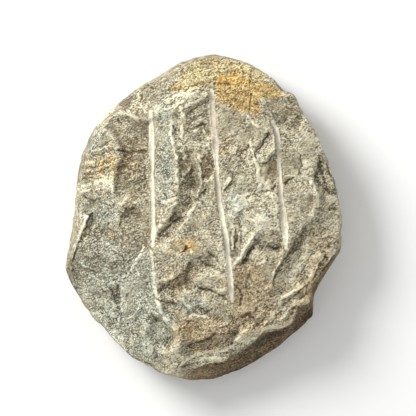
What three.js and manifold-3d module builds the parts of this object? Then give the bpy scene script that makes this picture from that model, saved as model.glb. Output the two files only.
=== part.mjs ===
// A hand-sized slab of split, weathered slate, one solid piece of stone.
// Its upper side is a set of split faces with ledges, hollows and crests between them,
// and three long round-bottomed grooves are cut into it side by side.
// Millimetres, +Z up. The origin is in the middle of the flat cleavage face it rests on,
// and the grooves run along Y.

import * as THREE from 'three';
import { ImprovedNoise } from 'three/addons/math/ImprovedNoise.js';
import { mergeVertices } from 'three/addons/utils/BufferGeometryUtils.js';
import Module from 'manifold-3d';

// ---------------------------------------------------------------- driving dimensions

const THICKNESS = 34; // from the resting face to the dome of the upper side
const EDGE_DROP = 7.5; // fall of the upper side from its middle to its brow
const EDGE_POWER = 2.6; // how late that fall comes
const GIRTH_HEIGHT = 12; // height of the widest line round the slab
const GIRTH_WANDER = 8; // how far that line rises and falls
const GROOVE_RADIUS = 1.35; // of the grooves' round section
const GROOVE_LIFT = 0.5; // height of that section's middle over the stone
const GROOVE_STEPS = 2; // steps of the groove between two points of its path
const GROOVE_SIDES = 10; // sides of its section

const TOP_RINGS = 29; // rings of points over the upper side, about 1.9 mm apart
const RING_STEP = 6; // points gained from each ring to the next
const INNER_REACH = 56; // radius that the inner rings are drawn on
const FLANK_COUNTS = [174, 166, 156, 146, 136, 126]; // points of the rings down the sides
const UNDER_COUNTS = [112, 96, 80, 62]; // points of the rings under the slab
const REST_COUNT = 48; // points round the resting face
const BASE_COUNTS = [24, 6]; // points of the flat rings inside it

const SNAP = 1.05; // a point this near to a ledge or crest is moved onto it
const GROOVE_SNAP = 1.9; // a point this near to a groove's middle is moved to its edge
const JITTER = 0.42; // sideways scatter of the points of the upper side
const LEDGE_DEPTH = 2; // how far the layers stand in and out down the sides
const LAYER = 3.4; // thickness of those layers

const STONE_COLOUR = 0x8b8a7c;

// ---------------------------------------------------------------- outlines, seen from above

const GIRTH = [
  [4, 65.3], [-3, 64], [-10, 62], [-19.5, 55.2], [-24.5, 53.1], [-34, 45.6], [-42.7, 36.8],
  [-49, 25], [-51, 15], [-52.4, 0], [-54.3, -13], [-55.9, -21.5], [-52.8, -28.5], [-44.9, -40],
  [-38.5, -46.8], [-29.8, -56.3], [-23, -59.7], [-14, -64.2], [-6, -65.9], [3, -66], [9, -64],
  [15.5, -61.9], [22, -57.8], [30, -53.2], [37.5, -46], [44, -40.5], [44.6, -38.8], [43.8, -34],
  [45.3, -29.5], [49, -23.5], [52, -18.5], [55.5, -12.5], [55, -5], [55.7, -2], [53.9, 7],
  [53.2, 12.5], [49.5, 23.2], [47.3, 26.5], [45, 33], [38.9, 43], [36.5, 48.8], [32.5, 50],
  [28.5, 54.7], [24, 57.9], [19, 61], [15, 62.7],
];

const BROW = [
  [4, 63.4], [-6, 61.4], [-12, 58], [-19, 52.8], [-25, 49.8], [-32, 43.7], [-39, 37], [-44, 30],
  [-46.5, 23], [-48.3, 14], [-49.5, 5], [-49.3, -3], [-51, -12], [-53.4, -20], [-51.8, -27.8],
  [-44.2, -39.2], [-37.8, -46.2], [-29.3, -55.2], [-22.6, -58.9], [-15, -62.8], [-10, -63],
  [-3, -60], [7, -58.3], [12, -54.6], [20.5, -49.3], [25, -45.8], [31, -44.8], [35, -42],
  [37, -37], [39.5, -35.3], [42, -33.5], [42.2, -30], [44, -26], [47, -21], [50, -17],
  [53.2, -13.2], [54.3, -5], [54.4, 1], [53, 8], [52.3, 13.5], [48.7, 23], [45.4, 31],
  [41.8, 37], [38, 42.8], [35.6, 48.2], [31, 49.8], [26.8, 55.2], [18.8, 59.8], [10, 62.8],
];

const REST = [
  [39, -4], [35, 20], [22, 39], [-4, 46], [-26, 38], [-37, 17], [-39, -12], [-31, -32],
  [-11, -46], [11, -44], [30, -27],
];

// The steep broken side at the lower right: its direction, and how wide it reaches.
const BLUFF_DIRECTION = THREE.MathUtils.degToRad(-52);
const BLUFF_FROM = 0.72; // cosine of the angle off that direction where it begins
const BLUFF_FULL = 0.95; // and where it is at its full

// Flat breaks under the slab: direction in degrees, where each starts, and how steep it rises.
const UNDER_CUTS = [
  { direction: 198, start: 37, slope: 0.95 },
  { direction: 135, start: 42, slope: 0.8 },
  { direction: 70, start: 45, slope: 1.1 },
  { direction: 14, start: 38, slope: 0.75 },
  { direction: -38, start: 40, slope: 0.5 },
  { direction: -100, start: 47, slope: 1 },
  { direction: -150, start: 42, slope: 0.65 },
];

// ---------------------------------------------------------------- split faces of the upper side
// edge: outline seen from above. rise: how far its middle stands over the slab's dome.
// lean: rise per millimetre towards +X and +Y. step: plan width of the ledge round it.

const FACES = [
  {
    name: 'top cap', rise: -0.4, lean: [0, -0.07], step: 2.6,
    edge: [
      [-22, 43], [-27, 52], [-18, 58], [-8, 66], [8, 68], [20, 64], [30, 58], [38, 50],
      [30, 47.5], [22, 47], [17, 41.5], [8, 45], [5, 50], [-2, 51], [-8, 49.5], [-15, 48],
    ],
  },
  {
    name: 'chipped top edge', rise: -1.6, lean: [0.03, -0.4], step: 1.8,
    edge: [[-9, 59], [0, 60], [9, 59], [17, 56], [21, 60], [10, 68], [-8, 68]],
  },
  {
    name: 'chipped top left edge', rise: -1.6, lean: [0.26, -0.36], step: 1.8,
    edge: [[-35, 42], [-29, 45.5], [-25, 47.5], [-22, 52.5], [-28, 58], [-42, 44]],
  },
  {
    name: 'left terrace', rise: 0.8, lean: [0.1, 0.02], step: 1.8,
    edge: [
      [-46, 33], [-41, 36], [-36.5, 33], [-34, 30], [-33.3, 27], [-31.5, 25], [-32.5, 22],
      [-34.5, 19], [-35, 14], [-34.5, 9], [-37, 8], [-51, 9], [-54, 9], [-54, 18], [-51, 24],
    ],
  },
  {
    name: 'left slope under the terrace', rise: -0.3, lean: [0.03, 0.06], step: 1.8,
    edge: [
      [-34.5, 9], [-33, 6], [-30, 3], [-32, 0], [-33, -4], [-40, -4], [-45, 0], [-54, 1],
      [-54, 9], [-51, 9], [-37, 8],
    ],
  },
  {
    name: 'left valley, upper end', rise: -1.2, lean: [-0.2, 0.04], step: 1.6,
    edge: [
      [-38.5, 36.5], [-34, 39.5], [-30, 40], [-27, 38], [-21, 36.5], [-21, 25.5], [-32, 25],
      [-33.3, 27], [-34, 30], [-36.5, 33],
    ],
  },
  {
    name: 'left valley', rise: -2, lean: [-0.2, 0.02], step: 1.6,
    edge: [
      [-32, 25], [-21, 25.5], [-21, -9], [-23, -12.5], [-26, -16], [-29, -20.5], [-30, -25],
      [-33, -24], [-32.5, -18], [-34, -10], [-33, -4], [-32, 0], [-30, 3], [-33, 6],
      [-34.5, 9], [-35, 14], [-34.5, 19], [-32.5, 22],
    ],
  },
  {
    name: 'lower left rim', rise: 0.3, lean: [0.25, -0.05], step: 2,
    edge: [
      [-44.5, 1], [-46.5, -5], [-49.5, -11], [-52, -17], [-54.5, -22], [-60, -24],
      [-60, -10], [-56, 2],
    ],
  },
  {
    name: 'lower left field', rise: -0.9, lean: [-0.12, -0.03], step: 1.6,
    edge: [
      [-44.5, 1], [-40, -4], [-33, -4], [-34, -10], [-32.5, -18], [-33, -24], [-33.5, -33],
      [-33.5, -44], [-40, -47], [-49, -37], [-57, -24], [-54.5, -22], [-52, -17],
      [-49.5, -11], [-46.5, -5],
    ],
  },
  {
    name: 'small dark wedge', rise: -1.7, lean: [-0.4, 0.05], step: 1.1,
    edge: [[-39.5, -29], [-35, -25], [-33.4, -25], [-33.4, -40], [-34.8, -36], [-36.5, -32]],
  },
  {
    name: 'smooth lower plate', rise: -1.2, lean: [0.12, -0.02], step: 1.8,
    edge: [
      [-33, -25], [-30, -25], [-29, -20.5], [-26, -16], [-23, -12.5], [-20.5, -10],
      [-19.8, -20], [-19, -31], [-17.5, -36], [-20, -38.5], [-24, -43], [-29, -49],
      [-33.5, -46], [-33.2, -36],
    ],
  },
  {
    name: 'rough field beside it', rise: 0.5, lean: [-0.03, 0], step: 1.6,
    edge: [
      [-20.4, -12], [-14, -9], [-9, -11], [-4, -14], [-4.5, -20], [-9, -25.5], [-13, -27.5],
      [-16, -31], [-16, -37], [-18, -36], [-19.2, -30], [-19.8, -20],
    ],
  },
  {
    name: 'blue facet', rise: -1.6, lean: [-0.3, 0.12], step: 1.5,
    edge: [[-20.5, -38], [-23.5, -42.5], [-25, -50], [-14, -52], [-10, -47], [-14.5, -42]],
  },
  {
    name: 'long plate', rise: 0.2, lean: [0.2, 0], step: 1.4,
    edge: [
      [-21, 39.5], [-17, 41], [-14, 39.5], [-12.3, 37], [-12.3, 33], [-11, 27], [-10.3, 22],
      [-9.6, 16], [-9.8, 9], [-10.5, 3.5], [-12.5, 0], [-16, -4], [-19.5, -7.5], [-21, -5],
      [-21, 20],
    ],
  },
  {
    name: 'shadow under the long plate', rise: -1.6, lean: [-0.16, 0.2], step: 1.6,
    edge: [
      [-8, 5], [-10.5, 3.5], [-12.5, 0], [-16, -4], [-19.5, -7.5], [-19.5, -12], [-14, -9],
      [-9, -3], [-5, 1],
    ],
  },
  {
    name: 'shadowed plate', rise: -1.5, lean: [-0.28, 0.06], step: 1.4,
    edge: [
      [-8.5, 40.5], [-6, 43], [-2, 45.5], [3.1, 48], [3.7, 36], [4.3, 30], [0.5, 29.5],
      [-4, 29], [-8, 28], [-8.6, 33],
    ],
  },
  {
    name: 'rough band below it', rise: -0.8, lean: [-0.1, 0.12], step: 1.4,
    edge: [[-11, 29], [-4, 29], [4.3, 30], [4.6, 25.5], [-1, 24], [-6, 25.5], [-10.5, 24.5]],
  },
  {
    name: 'hollow beside the long plate', rise: -2, lean: [-0.42, 0], step: 1.4,
    edge: [
      [-9.8, 24.5], [-7.5, 27], [-5, 26], [-4.5, 22], [-3.6, 18], [-3, 14], [-3, 10],
      [-4, 6], [-6, 2.5], [-8.5, 1], [-9.8, 4], [-9.6, 9], [-9.6, 14], [-9.4, 20],
    ],
  },
  {
    name: 'hollow beside the middle groove', rise: -1.7, lean: [-0.42, 0], step: 1.4,
    edge: [
      [-1.5, 22.5], [0.5, 25.5], [4.6, 26.5], [5, 22], [5.2, 17.5], [3.5, 16], [1.5, 15],
      [0, 15.5], [-0.7, 19],
    ],
  },
  {
    name: 'crest band', rise: 0.9, lean: [0, -0.2], step: 1.6,
    edge: [
      [-22, 42], [-15, 48], [-8, 50], [-2, 51], [3, 50], [2, 47.5], [-2, 45.5],
      [-6, 43], [-9, 41], [-13, 39], [-20, 39.5],
    ],
  },
  {
    name: 'dark plate at the upper right', rise: -1.2, lean: [-0.16, 0.1], step: 1.5,
    edge: [
      [21.5, 47], [30, 47.5], [38, 47.5], [42, 42], [40, 38], [35, 34], [30, 35], [26, 38],
      [23, 39], [22, 43.5],
    ],
  },
  {
    name: 'upper right plate', rise: 0, lean: [0.05, -0.02], step: 1.6,
    edge: [
      [3.6, 45], [12, 42], [17, 41.5], [22, 43.5], [23, 39], [26, 38], [28, 27], [26.5, 22],
      [21, 15], [20, 12], [5.9, 10], [4.6, 27],
    ],
  },
  {
    name: 'wedge by the right groove', rise: 0.8, lean: [0.2, -0.1], step: 1.2,
    edge: [
      [19.5, 23.5], [22, 27], [24.5, 30.5], [27, 34], [28.6, 30], [28.2, 26], [27, 22.5],
      [24, 20.5], [21, 21.5],
    ],
  },
  {
    name: 'hollow by the right groove', rise: -1.8, lean: [-0.42, 0], step: 1.4,
    edge: [
      [29.4, 26.5], [29.8, 20], [30.2, 14], [27, 12.5], [25, 14], [22.5, 14.5], [24, 18],
      [25.5, 20.5], [27.5, 23.5],
    ],
  },
  {
    name: 'right plate', rise: 0.3, lean: [0.03, 0], step: 1.6,
    edge: [
      [29.3, 34], [35, 34], [40, 38], [44, 34], [47, 27], [48, 24], [45, 22.5], [44, 18.5],
      [43, 15], [44.5, 11.5], [45, 7], [44, 2], [42, -1.5], [39, -5.5], [36, -9],
      [33.5, -12], [32, -6], [31.2, 0], [30.5, 10],
    ],
  },
  {
    name: 'notch on the right edge', rise: -2.3, lean: [-0.28, 0.05], step: 1.8,
    edge: [
      [45, 22.5], [48, 24], [52, 23], [55, 16], [57, 11], [56, 8.5], [50, 8], [46.5, 9],
      [44.5, 11.5], [43, 15], [44, 18.5],
    ],
  },
  {
    name: 'right shoulder', rise: -2.6, lean: [-0.16, 0.04], step: 2.2,
    edge: [
      [45.5, 8.5], [57, 8.5], [60, 0], [60, -12], [54, -13], [48, -14], [45, -8],
      [43, -2], [45, 3],
    ],
  },
  {
    name: 'lower right terrace', rise: -3, lean: [0.1, -0.05], step: 2.6,
    edge: [
      [36.5, -9.5], [39.5, -6], [42.5, -2.5], [45, -8], [47.5, -13.5], [45, -18.5],
      [42.5, -24], [40.5, -27], [36, -29], [31, -31.5], [28.5, -31], [27.8, -27], [29, -23],
      [32.5, -17.5], [34.5, -13],
    ],
  },
  {
    name: 'steps at the lower right', rise: -4.4, lean: [-0.25, 0.12], step: 1.6,
    edge: [
      [48, -14], [54, -13], [60, -13], [52, -25], [46, -33], [42.5, -31], [41, -27.5],
      [42.5, -24], [45, -18.5],
    ],
  },
  {
    name: 'brown field', rise: 0.2, lean: [0.06, 0], step: 1.8,
    edge: [
      [13, -19], [17, -18], [23, -17], [28, -22], [27, -27], [28, -32], [34, -35],
      [34, -41], [26, -43], [18, -44], [13, -41], [12.5, -34], [12.5, -26],
    ],
  },
  {
    name: 'lower ledge', rise: -3.8, lean: [0.02, 0.06], step: 1.8,
    edge: [
      [-13, -66], [-10, -60.5], [-8, -57.5], [-5, -56], [0, -54], [6, -53], [11, -51],
      [16, -49], [21, -46.5], [25, -45], [30, -44.5], [34, -43], [40, -44], [34, -52],
      [20, -60], [6, -68],
    ],
  },
  {
    name: 'lower recess', rise: -3.2, lean: [-0.1, 0.3], step: 1.6,
    edge: [
      [-7.5, -50.5], [-3, -49.7], [1.5, -49], [4, -46.8], [8, -48], [11, -46.5], [14, -44.5],
      [13.5, -48], [9, -51], [4, -52.4], [-1, -53.4], [-5, -55.7], [-9, -55.5],
    ],
  },
  {
    name: 'pale strip left of the middle groove', rise: 0.5, lean: [0.16, -0.02], step: 1.5,
    edge: [[4, 0], [6.8, 1], [8.2, -6], [9.6, -15], [10, -21], [6, -21], [4.5, -12]],
  },
  {
    name: 'pale plate below the middle', rise: 0.3, lean: [0.06, -0.1], step: 1.3,
    edge: [
      [-5, -22], [6, -21], [10, -21], [10.8, -29], [7, -31], [4, -29.3], [0, -28.5], [-4, -28],
    ],
  },
  {
    name: 'notch right of the middle groove', rise: -1.3, lean: [-0.1, 0.1], step: 1.4,
    edge: [[10.5, -3], [13.5, -3.5], [15, -7], [13, -14], [11, -17], [10, -13]],
  },
  {
    name: 'dark facet below the white patch', rise: -1.5, lean: [-0.16, 0.22], step: 1.5,
    edge: [[21.5, -6.5], [26, -6], [31, -7.5], [31, -13], [27, -15], [20, -14], [17, -18], [16.5, -14]],
  },
  {
    name: 'dark facet in the middle', rise: -1.1, lean: [-0.12, 0.2], step: 1.6,
    edge: [[-7, -16], [-3, -15], [4, -15], [4, -21], [-1, -22], [-5, -21]],
  },
  {
    name: 'brown step left of the middle', rise: -1.3, lean: [-0.05, 0.25], step: 1.4,
    edge: [
      [-18.5, -28.5], [-13, -27.5], [-9, -25.5], [-5, -21], [-4, -28], [-9, -29], [-13, -31.5],
      [-18, -31],
    ],
  },
];

// ---------------------------------------------------------------- crests and creases
// path: seen from above. height: over the faces, below zero for a crease or a scarp's foot.
// width: plan reach to either side.

const CRESTS = [
  { height: 1, width: 1.9, path: [[-41, 36.5], [-34, 40.3], [-29, 40], [-24, 37]] },
  { height: 0.9, width: 1.9, path: [[-43, 13], [-37, 11], [-34.5, 8], [-31, 3.5]] },
  {
    height: 1.3, width: 2,
    path: [[-4.5, 25], [-2.5, 21], [-1, 17.5], [-1.2, 12], [-2.7, 7], [-5, 2], [-8, 0]],
  },
  { height: 1, width: 1.6, path: [[-9.4, 13.5], [-7, 17], [-5.3, 20]] },
  { height: 1, width: 1.6, path: [[1.5, 14], [4.5, 17.5]] },
  { height: 0.9, width: 1.8, path: [[-8.3, 41], [-8.6, 32]] },
  { height: 0.9, width: 1.8, path: [[-13, 38], [-13, 32], [-11.8, 27]] },
  { height: 0.9, width: 1.8, path: [[18.5, 28], [19.3, 24], [21.3, 20], [21.5, 15]] },
  { height: 0.8, width: 1.7, path: [[17, 40], [19.5, 38], [21.5, 35]] },
  { height: 0.7, width: 1.7, path: [[25.5, 37], [27.8, 35], [27.9, 29], [27.5, 25]] },
  { height: 1, width: 1.8, path: [[36, 16], [41, 16], [44, 12], [44.8, 6], [43.5, 0]] },
  { height: 0.9, width: 1.7, path: [[46.5, -15], [42.5, -24], [40.5, -27], [36, -29.5]] },
  { height: 0.8, width: 1.6, path: [[51, -14], [46.5, -20.5], [43.5, -26]] },
  { height: 1.1, width: 1.8, path: [[42.8, -26], [41.8, -30], [42, -33], [43.5, -35]] },
  { height: 1, width: 1.9, path: [[-18.5, -35], [-16.5, -38.5], [-12, -44], [-9.5, -46], [-9, -52]] },
  { height: 0.7, width: 1.7, path: [[-10, -47], [-7.5, -44], [-4, -42.5]] },
  { height: 0.7, width: 1.6, path: [[-10, -60], [-5, -57], [1, -55.5], [8, -56.5]] },
  { height: 1, width: 2, path: [[21.5, -5.5], [17, -12], [14, -18], [11.5, -23]] },
  { height: 0.8, width: 2.2, path: [[20, -3], [24, -1.5], [28, -4]] },
  { height: 0.5, width: 2.2, path: [[-20, -12], [-19, -20], [-18.4, -31], [-17.5, -35]] },
  { height: 0.9, width: 2.2, path: [[14, -46.5], [20, -45], [25, -43.5], [31, -43.5]] },
  { height: 0.8, width: 1.7, path: [[30, -33], [35, -30], [39, -28.5]] },
  { height: 0.7, width: 2, path: [[-24.5, -44], [-23, -49], [-20, -56]] },
  { height: -0.7, width: 1.4, path: [[-1.5, 21], [-0.3, 17], [0, 13]] },
  { height: -0.9, width: 1.4, path: [[27, 33], [24, 29.5], [22, 27], [20, 25.3]] },
  { height: -0.7, width: 1.3, path: [[15, 25], [18, 27.5]] },
  { height: -0.8, width: 1.4, path: [[31.5, 12], [35.5, 15]] },
  { height: -0.7, width: 1.4, path: [[7, 8], [10, 11], [13, 15]] },
  { height: -0.9, width: 1.8, path: [[-5, 2.5], [-9, 0], [-13, -3.5], [-18, -7.5]] },
  { height: -1.1, width: 1.7, path: [[-4.5, -20], [-8, -25], [-13, -27], [-18, -28.5]] },
  { height: -1, width: 1.7, path: [[-18.5, -32.5], [-14, -34], [-9, -36], [-4, -38]] },
  { height: -0.8, width: 1.5, path: [[-4, -28], [0, -28.8], [4, -29.8], [8, -31.5]] },
  { height: -0.8, width: 1.7, path: [[0, -38], [6, -41], [12, -41], [15, -43.5]] },
  { height: -0.8, width: 1.5, path: [[-50, 15], [-44, 17], [-38, 17.5]] },
  { height: 1, width: 2.4, path: [[36, -34], [41, -36], [44, -37.5]] },
];

// ---------------------------------------------------------------- grooves
// path: [x, y, how far the cutter stays above its usual depth], climbing out at both ends.

const GROOVES = [
  {
    name: 'left',
    path: [[-20.5, 41, 1.6], [-20.7, 37, 0], [-20.8, 28, 0], [-20.8, 18, 0], [-20.7, 8, 0],
      [-20.3, -3, 0], [-20, -11.5, 1.4]],
  },
  {
    name: 'middle',
    path: [[3.2, 50.5, 1.6], [3.2, 45, 0], [3.7, 36, 0], [4.6, 27, 0], [5.4, 18, 0],
      [5.9, 9, 0], [7.1, 0, 0], [9, -9.5, 0], [10.2, -19, 0], [11, -29, 0.1], [11.6, -35.5, 1.6]],
  },
  {
    name: 'right',
    path: [[27.2, 38.5, 1.5], [29, 32.5, 0], [29.5, 25, 0], [30, 16, 0], [30.6, 8, 0],
      [31.4, 0, 0], [32.2, -7, 0.1], [32.6, -14.5, 1.6]],
  },
];

// ---------------------------------------------------------------- small helpers

const grain = new ImprovedNoise();
const { lerp, smoothstep } = THREE.MathUtils;

/** Smooth roughness of a given lump size and height, on a grid turned away from X and Y. */
function roughness(x, y, z, size, height) {
  const across = 0.8 * x + 0.6 * y;
  const along = 0.8 * y - 0.6 * x + 0.35 * z;
  return height * grain.noise(across / size + 31.7, along / size + 12.3, z / size + 4.9);
}

/** How far an outline lies from the middle in one direction. */
function reach(outline, angle) {
  const dx = Math.cos(angle);
  const dy = Math.sin(angle);
  let far = 0;
  outline.forEach(([ax, ay], i) => {
    const [bx, by] = outline[(i + 1) % outline.length];
    const ex = bx - ax;
    const ey = by - ay;
    const turn = dx * ey - dy * ex;
    const along = (ax * dy - ay * dx) / turn;
    const out = (ax * ey - ay * ex) / turn;
    if (along >= 0 && along <= 1) far = Math.max(far, out);
  });
  return far;
}

/** The nearest point of a segment a-b to x, y, and how far off it is. */
function nearestOn([ax, ay], [bx, by], x, y) {
  const ex = bx - ax;
  const ey = by - ay;
  const t = THREE.MathUtils.clamp(((x - ax) * ex + (y - ay) * ey) / (ex * ex + ey * ey), 0, 1);
  const px = ax + t * ex;
  const py = ay + t * ey;
  return { px, py, gap: Math.hypot(x - px, y - py) };
}

/** The nearest point of a path; a closed path also runs from its last point to its first. */
function nearestOnPath(path, closed, x, y) {
  const last = closed ? path.length : path.length - 1;
  let best = { gap: Infinity };
  for (let i = 0; i < last; i += 1) {
    const found = nearestOn(path[i], path[(i + 1) % path.length], x, y);
    if (found.gap < best.gap) best = found;
  }
  return best;
}

/** Whether x, y is inside a closed outline. */
function isInside(outline, x, y) {
  let inside = false;
  outline.forEach(([ax, ay], i) => {
    const [bx, by] = outline[(i + 1) % outline.length];
    if ((ay > y) !== (by > y) && x < ax + ((y - ay) / (by - ay)) * (bx - ax)) inside = !inside;
  });
  return inside;
}

/** How deep x, y lies inside an outline, below zero outside it. */
function depthInside(outline, x, y) {
  const { gap } = nearestOnPath(outline, true, x, y);
  return isInside(outline, x, y) ? gap : -gap;
}

/** The middle of an outline's points. */
function middleOf(outline) {
  const sum = outline.reduce(([sx, sy], [x, y]) => [sx + x, sy + y], [0, 0]);
  return sum.map((value) => value / outline.length);
}

// ---------------------------------------------------------------- the upper side

/** The slab's gentle dome, before anything has split off it. */
function domeHeight(x, y) {
  const share = Math.hypot(x, y) / reach(BROW, Math.atan2(y, x));
  return THICKNESS - EDGE_DROP * share ** EDGE_POWER;
}

/** The height of the upper side: dome, split faces, crests, then roughness. */
function topHeight(x, y) {
  const dome = domeHeight(x, y);
  let z = dome;
  for (const { edge, rise, lean, step } of FACES) {
    const share = smoothstep(depthInside(edge, x, y), -step / 2, step / 2);
    const [mx, my] = middleOf(edge);
    const plane = dome + rise + lean[0] * (x - mx) + lean[1] * (y - my);
    z = lerp(z, plane, share);
  }
  for (const { path, height, width } of CRESTS) {
    z += height * Math.max(0, 1 - nearestOnPath(path, false, x, y).gap / width);
  }
  z += roughness(x, y, 0, 8.5, 1.1);
  z += roughness(x, y, 9, 3.7, 0.7);
  return z;
}

/** Moves a point that lies over a groove to the groove's edge. */
function besideGroove([x, y], { px, py, gap }) {
  const scale = (GROOVE_RADIUS + 0.1) / gap;
  return [px + (x - px) * scale, py + (y - py) * scale];
}

/** Moves a point that lies beside a ledge to its foot or its top, and one by a crest onto it. */
function settle([x, y]) {
  for (const { path } of GROOVES) {
    const found = nearestOnPath(path, false, x, y);
    if (found.gap < GROOVE_SNAP && found.gap > 1e-6) return besideGroove([x, y], found);
  }
  let best = { gap: SNAP };
  for (const { edge, step } of FACES) {
    const found = nearestOnPath(edge, true, x, y);
    if (found.gap < best.gap) best = { ...found, off: step / 2 };
  }
  for (const { path } of CRESTS) {
    const found = nearestOnPath(path, false, x, y);
    if (found.gap < best.gap) best = { ...found, off: 0 };
  }
  if (best.off === undefined || best.gap < 1e-6) return [x, y];
  const scale = best.off / best.gap;
  return [best.px + (x - best.px) * scale, best.py + (y - best.py) * scale];
}

/** Where a ring's point falls before it is settled. */
function topPoint(ring, angle) {
  const share = ring / TOP_RINGS;
  const inner = INNER_REACH * (1 - share * share);
  const radius = share * (inner + reach(BROW, angle) * share * share);
  const x = radius * Math.cos(angle);
  const y = radius * Math.sin(angle);
  if (ring === TOP_RINGS) return [x, y];
  return [x + roughness(x, y, 20, 1.3, JITTER), y + roughness(x, y, 40, 1.3, JITTER)];
}

// ---------------------------------------------------------------- the sides and the underside

/** How much of the steep broken side there is in one direction, from 0 to 1. */
function bluff(angle) {
  return smoothstep(Math.cos(angle - BLUFF_DIRECTION), BLUFF_FROM, BLUFF_FULL);
}

/** The height of the widest line, which wanders round the slab. */
function girthHeight(angle) {
  const wander = roughness(1.6 * Math.cos(angle), 1.6 * Math.sin(angle), 3, 1, GIRTH_WANDER);
  return GIRTH_HEIGHT + wander * (1 - bluff(angle)) - 3 * bluff(angle);
}

/** A point down the side: at share 0 on the brow, at share 1 on the widest line. */
function sidePoint(angle, share) {
  const brow = reach(BROW, angle);
  const girth = reach(GIRTH, angle);
  const browHeight = topHeight(brow * Math.cos(angle), brow * Math.sin(angle));
  const quarter = (share * Math.PI) / 2;
  const steep = bluff(angle);
  const out = lerp(Math.sin(quarter), share, steep);
  const down = lerp(1 - Math.cos(quarter), share, steep);
  const z = lerp(browHeight, girthHeight(angle), lerp(down, share, 0.45));
  const flat = lerp(brow, girth, out);
  const x = flat * Math.cos(angle);
  const y = flat * Math.sin(angle);
  const held = 1 - share ** 6;
  const layers = LEDGE_DEPTH * grain.noise(x / 15, y / 15, z / LAYER);
  const lumps = roughness(x, y, z, 8, 2.4);
  const radius = flat - held * (Math.abs(layers) + Math.abs(lumps)) * smoothstep(share, 0, 0.15);
  return [radius * Math.cos(angle), radius * Math.sin(angle), z];
}

/** A point under the slab: at share 0 on the widest line, at share 1 on the resting face. */
function underPoint(angle, share) {
  const girth = reach(GIRTH, angle);
  const rest = reach(REST, angle);
  const quarter = (share * Math.PI) / 2;
  const inward = lerp(1 - Math.cos(quarter), share, 0.55);
  const down = lerp(Math.sin(quarter), share, 0.55);
  const radius = lerp(girth, rest, inward);
  const x = radius * Math.cos(angle);
  const y = radius * Math.sin(angle);
  if (share === 1) return [x, y, 0];
  const rough = 4 * share * (1 - share) * (roughness(x, y, 60, 9, 2.4) + roughness(x, y, 70, 4, 1));
  let z = girthHeight(angle) * (1 - down) + rough;
  for (const { direction, start, slope } of UNDER_CUTS) {
    const turn = THREE.MathUtils.degToRad(direction);
    const out = x * Math.cos(turn) + y * Math.sin(turn);
    z = Math.max(z, (out - start) * slope);
  }
  return [x, y, z];
}

// ---------------------------------------------------------------- the shell

/** A closed shell built as rings of points, from the top middle to the bottom middle. */
class Shell {
  constructor() {
    this.points = [];
    this.triangles = [];
    this.ring = [];
  }

  /** Adds a ring of points and joins it to the ring before. */
  add(points) {
    const start = this.points.length;
    this.points.push(...points);
    const ring = points.map((_, i) => start + i);
    if (this.ring.length > 0) this.join(this.ring, ring);
    this.ring = ring;
  }

  /** Fills the band between two rings, which may have different counts of points. */
  join(before, after) {
    let i = 0;
    let j = 0;
    while (i < before.length || j < after.length) {
      const a = before[i % before.length];
      const b = after[j % after.length];
      const forward = (j + 1) / after.length <= (i + 1) / before.length;
      if (j < after.length && (forward || i >= before.length)) {
        if (after.length > 1) this.triangles.push([a, b, after[(j + 1) % after.length]]);
        j += 1;
      } else {
        if (before.length > 1) this.triangles.push([a, b, before[(i + 1) % before.length]]);
        i += 1;
      }
    }
  }

  geometry() {
    const geometry = new THREE.BufferGeometry();
    geometry.setAttribute('position', new THREE.Float32BufferAttribute(this.points.flat(), 3));
    geometry.setIndex(this.triangles.flat());
    return geometry;
  }
}

/** One ring of points, evenly spaced by angle. */
function ringOf(count, place) {
  return Array.from({ length: count }, (_, i) => place((i / count) * 2 * Math.PI));
}

/** Twice the area of a triangle seen from above, above zero when it faces up. */
function planArea([a, b, c], at) {
  const [ax, ay] = at[a];
  const [bx, by] = at[b];
  const [cx, cy] = at[c];
  return (bx - ax) * (cy - ay) - (by - ay) * (cx - ax);
}

/** Settles the points of the upper side on its ledges, but undoes what would fold a triangle. */
function settleTop(points, triangles) {
  const settled = points.map(settle);
  const smallest = 0.5;
  let folded = true;
  while (folded) {
    folded = false;
    for (const triangle of triangles) {
      if (planArea(triangle, settled) > smallest) continue;
      for (const corner of triangle) {
        if (settled[corner] === points[corner]) continue;
        settled[corner] = points[corner];
        folded = true;
      }
    }
  }
  return settled;
}

/** The stone before its grooves are cut. */
function stoneShell() {
  const shell = new Shell();
  shell.add([[0, 0]]);
  for (let ring = 1; ring <= TOP_RINGS; ring += 1) {
    shell.add(ringOf(ring * RING_STEP, (angle) => topPoint(ring, angle)));
  }
  const rim = TOP_RINGS * RING_STEP;
  const inside = shell.points.length - rim;
  const settled = settleTop(shell.points, shell.triangles);
  const placed = shell.points.map((point, i) => (i < inside ? settled[i] : point));
  shell.points = placed.map(([x, y]) => [x, y, topHeight(x, y)]);
  FLANK_COUNTS.forEach((count, i) => {
    const share = (i + 1) / FLANK_COUNTS.length;
    shell.add(ringOf(count, (angle) => sidePoint(angle, share)));
  });
  UNDER_COUNTS.forEach((count, i) => {
    const share = (i + 1) / (UNDER_COUNTS.length + 1);
    shell.add(ringOf(count, (angle) => underPoint(angle, share)));
  });
  shell.add(ringOf(REST_COUNT, (angle) => underPoint(angle, 1)));
  BASE_COUNTS.forEach((count, i) => {
    const inward = 1 - (i + 1) / (BASE_COUNTS.length + 0.6);
    shell.add(ringOf(count, (angle) => {
      const radius = reach(REST, angle) * inward;
      return [radius * Math.cos(angle), radius * Math.sin(angle), 0];
    }));
  });
  shell.add([[0, 0, 0]]);
  return shell.geometry();
}

// ---------------------------------------------------------------- grooves

/** The mean height of the stone to either side of a groove. */
function heightBeside(x, y) {
  return (topHeight(x - GROOVE_RADIUS, y) + topHeight(x + GROOVE_RADIUS, y)) / 2;
}

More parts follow.
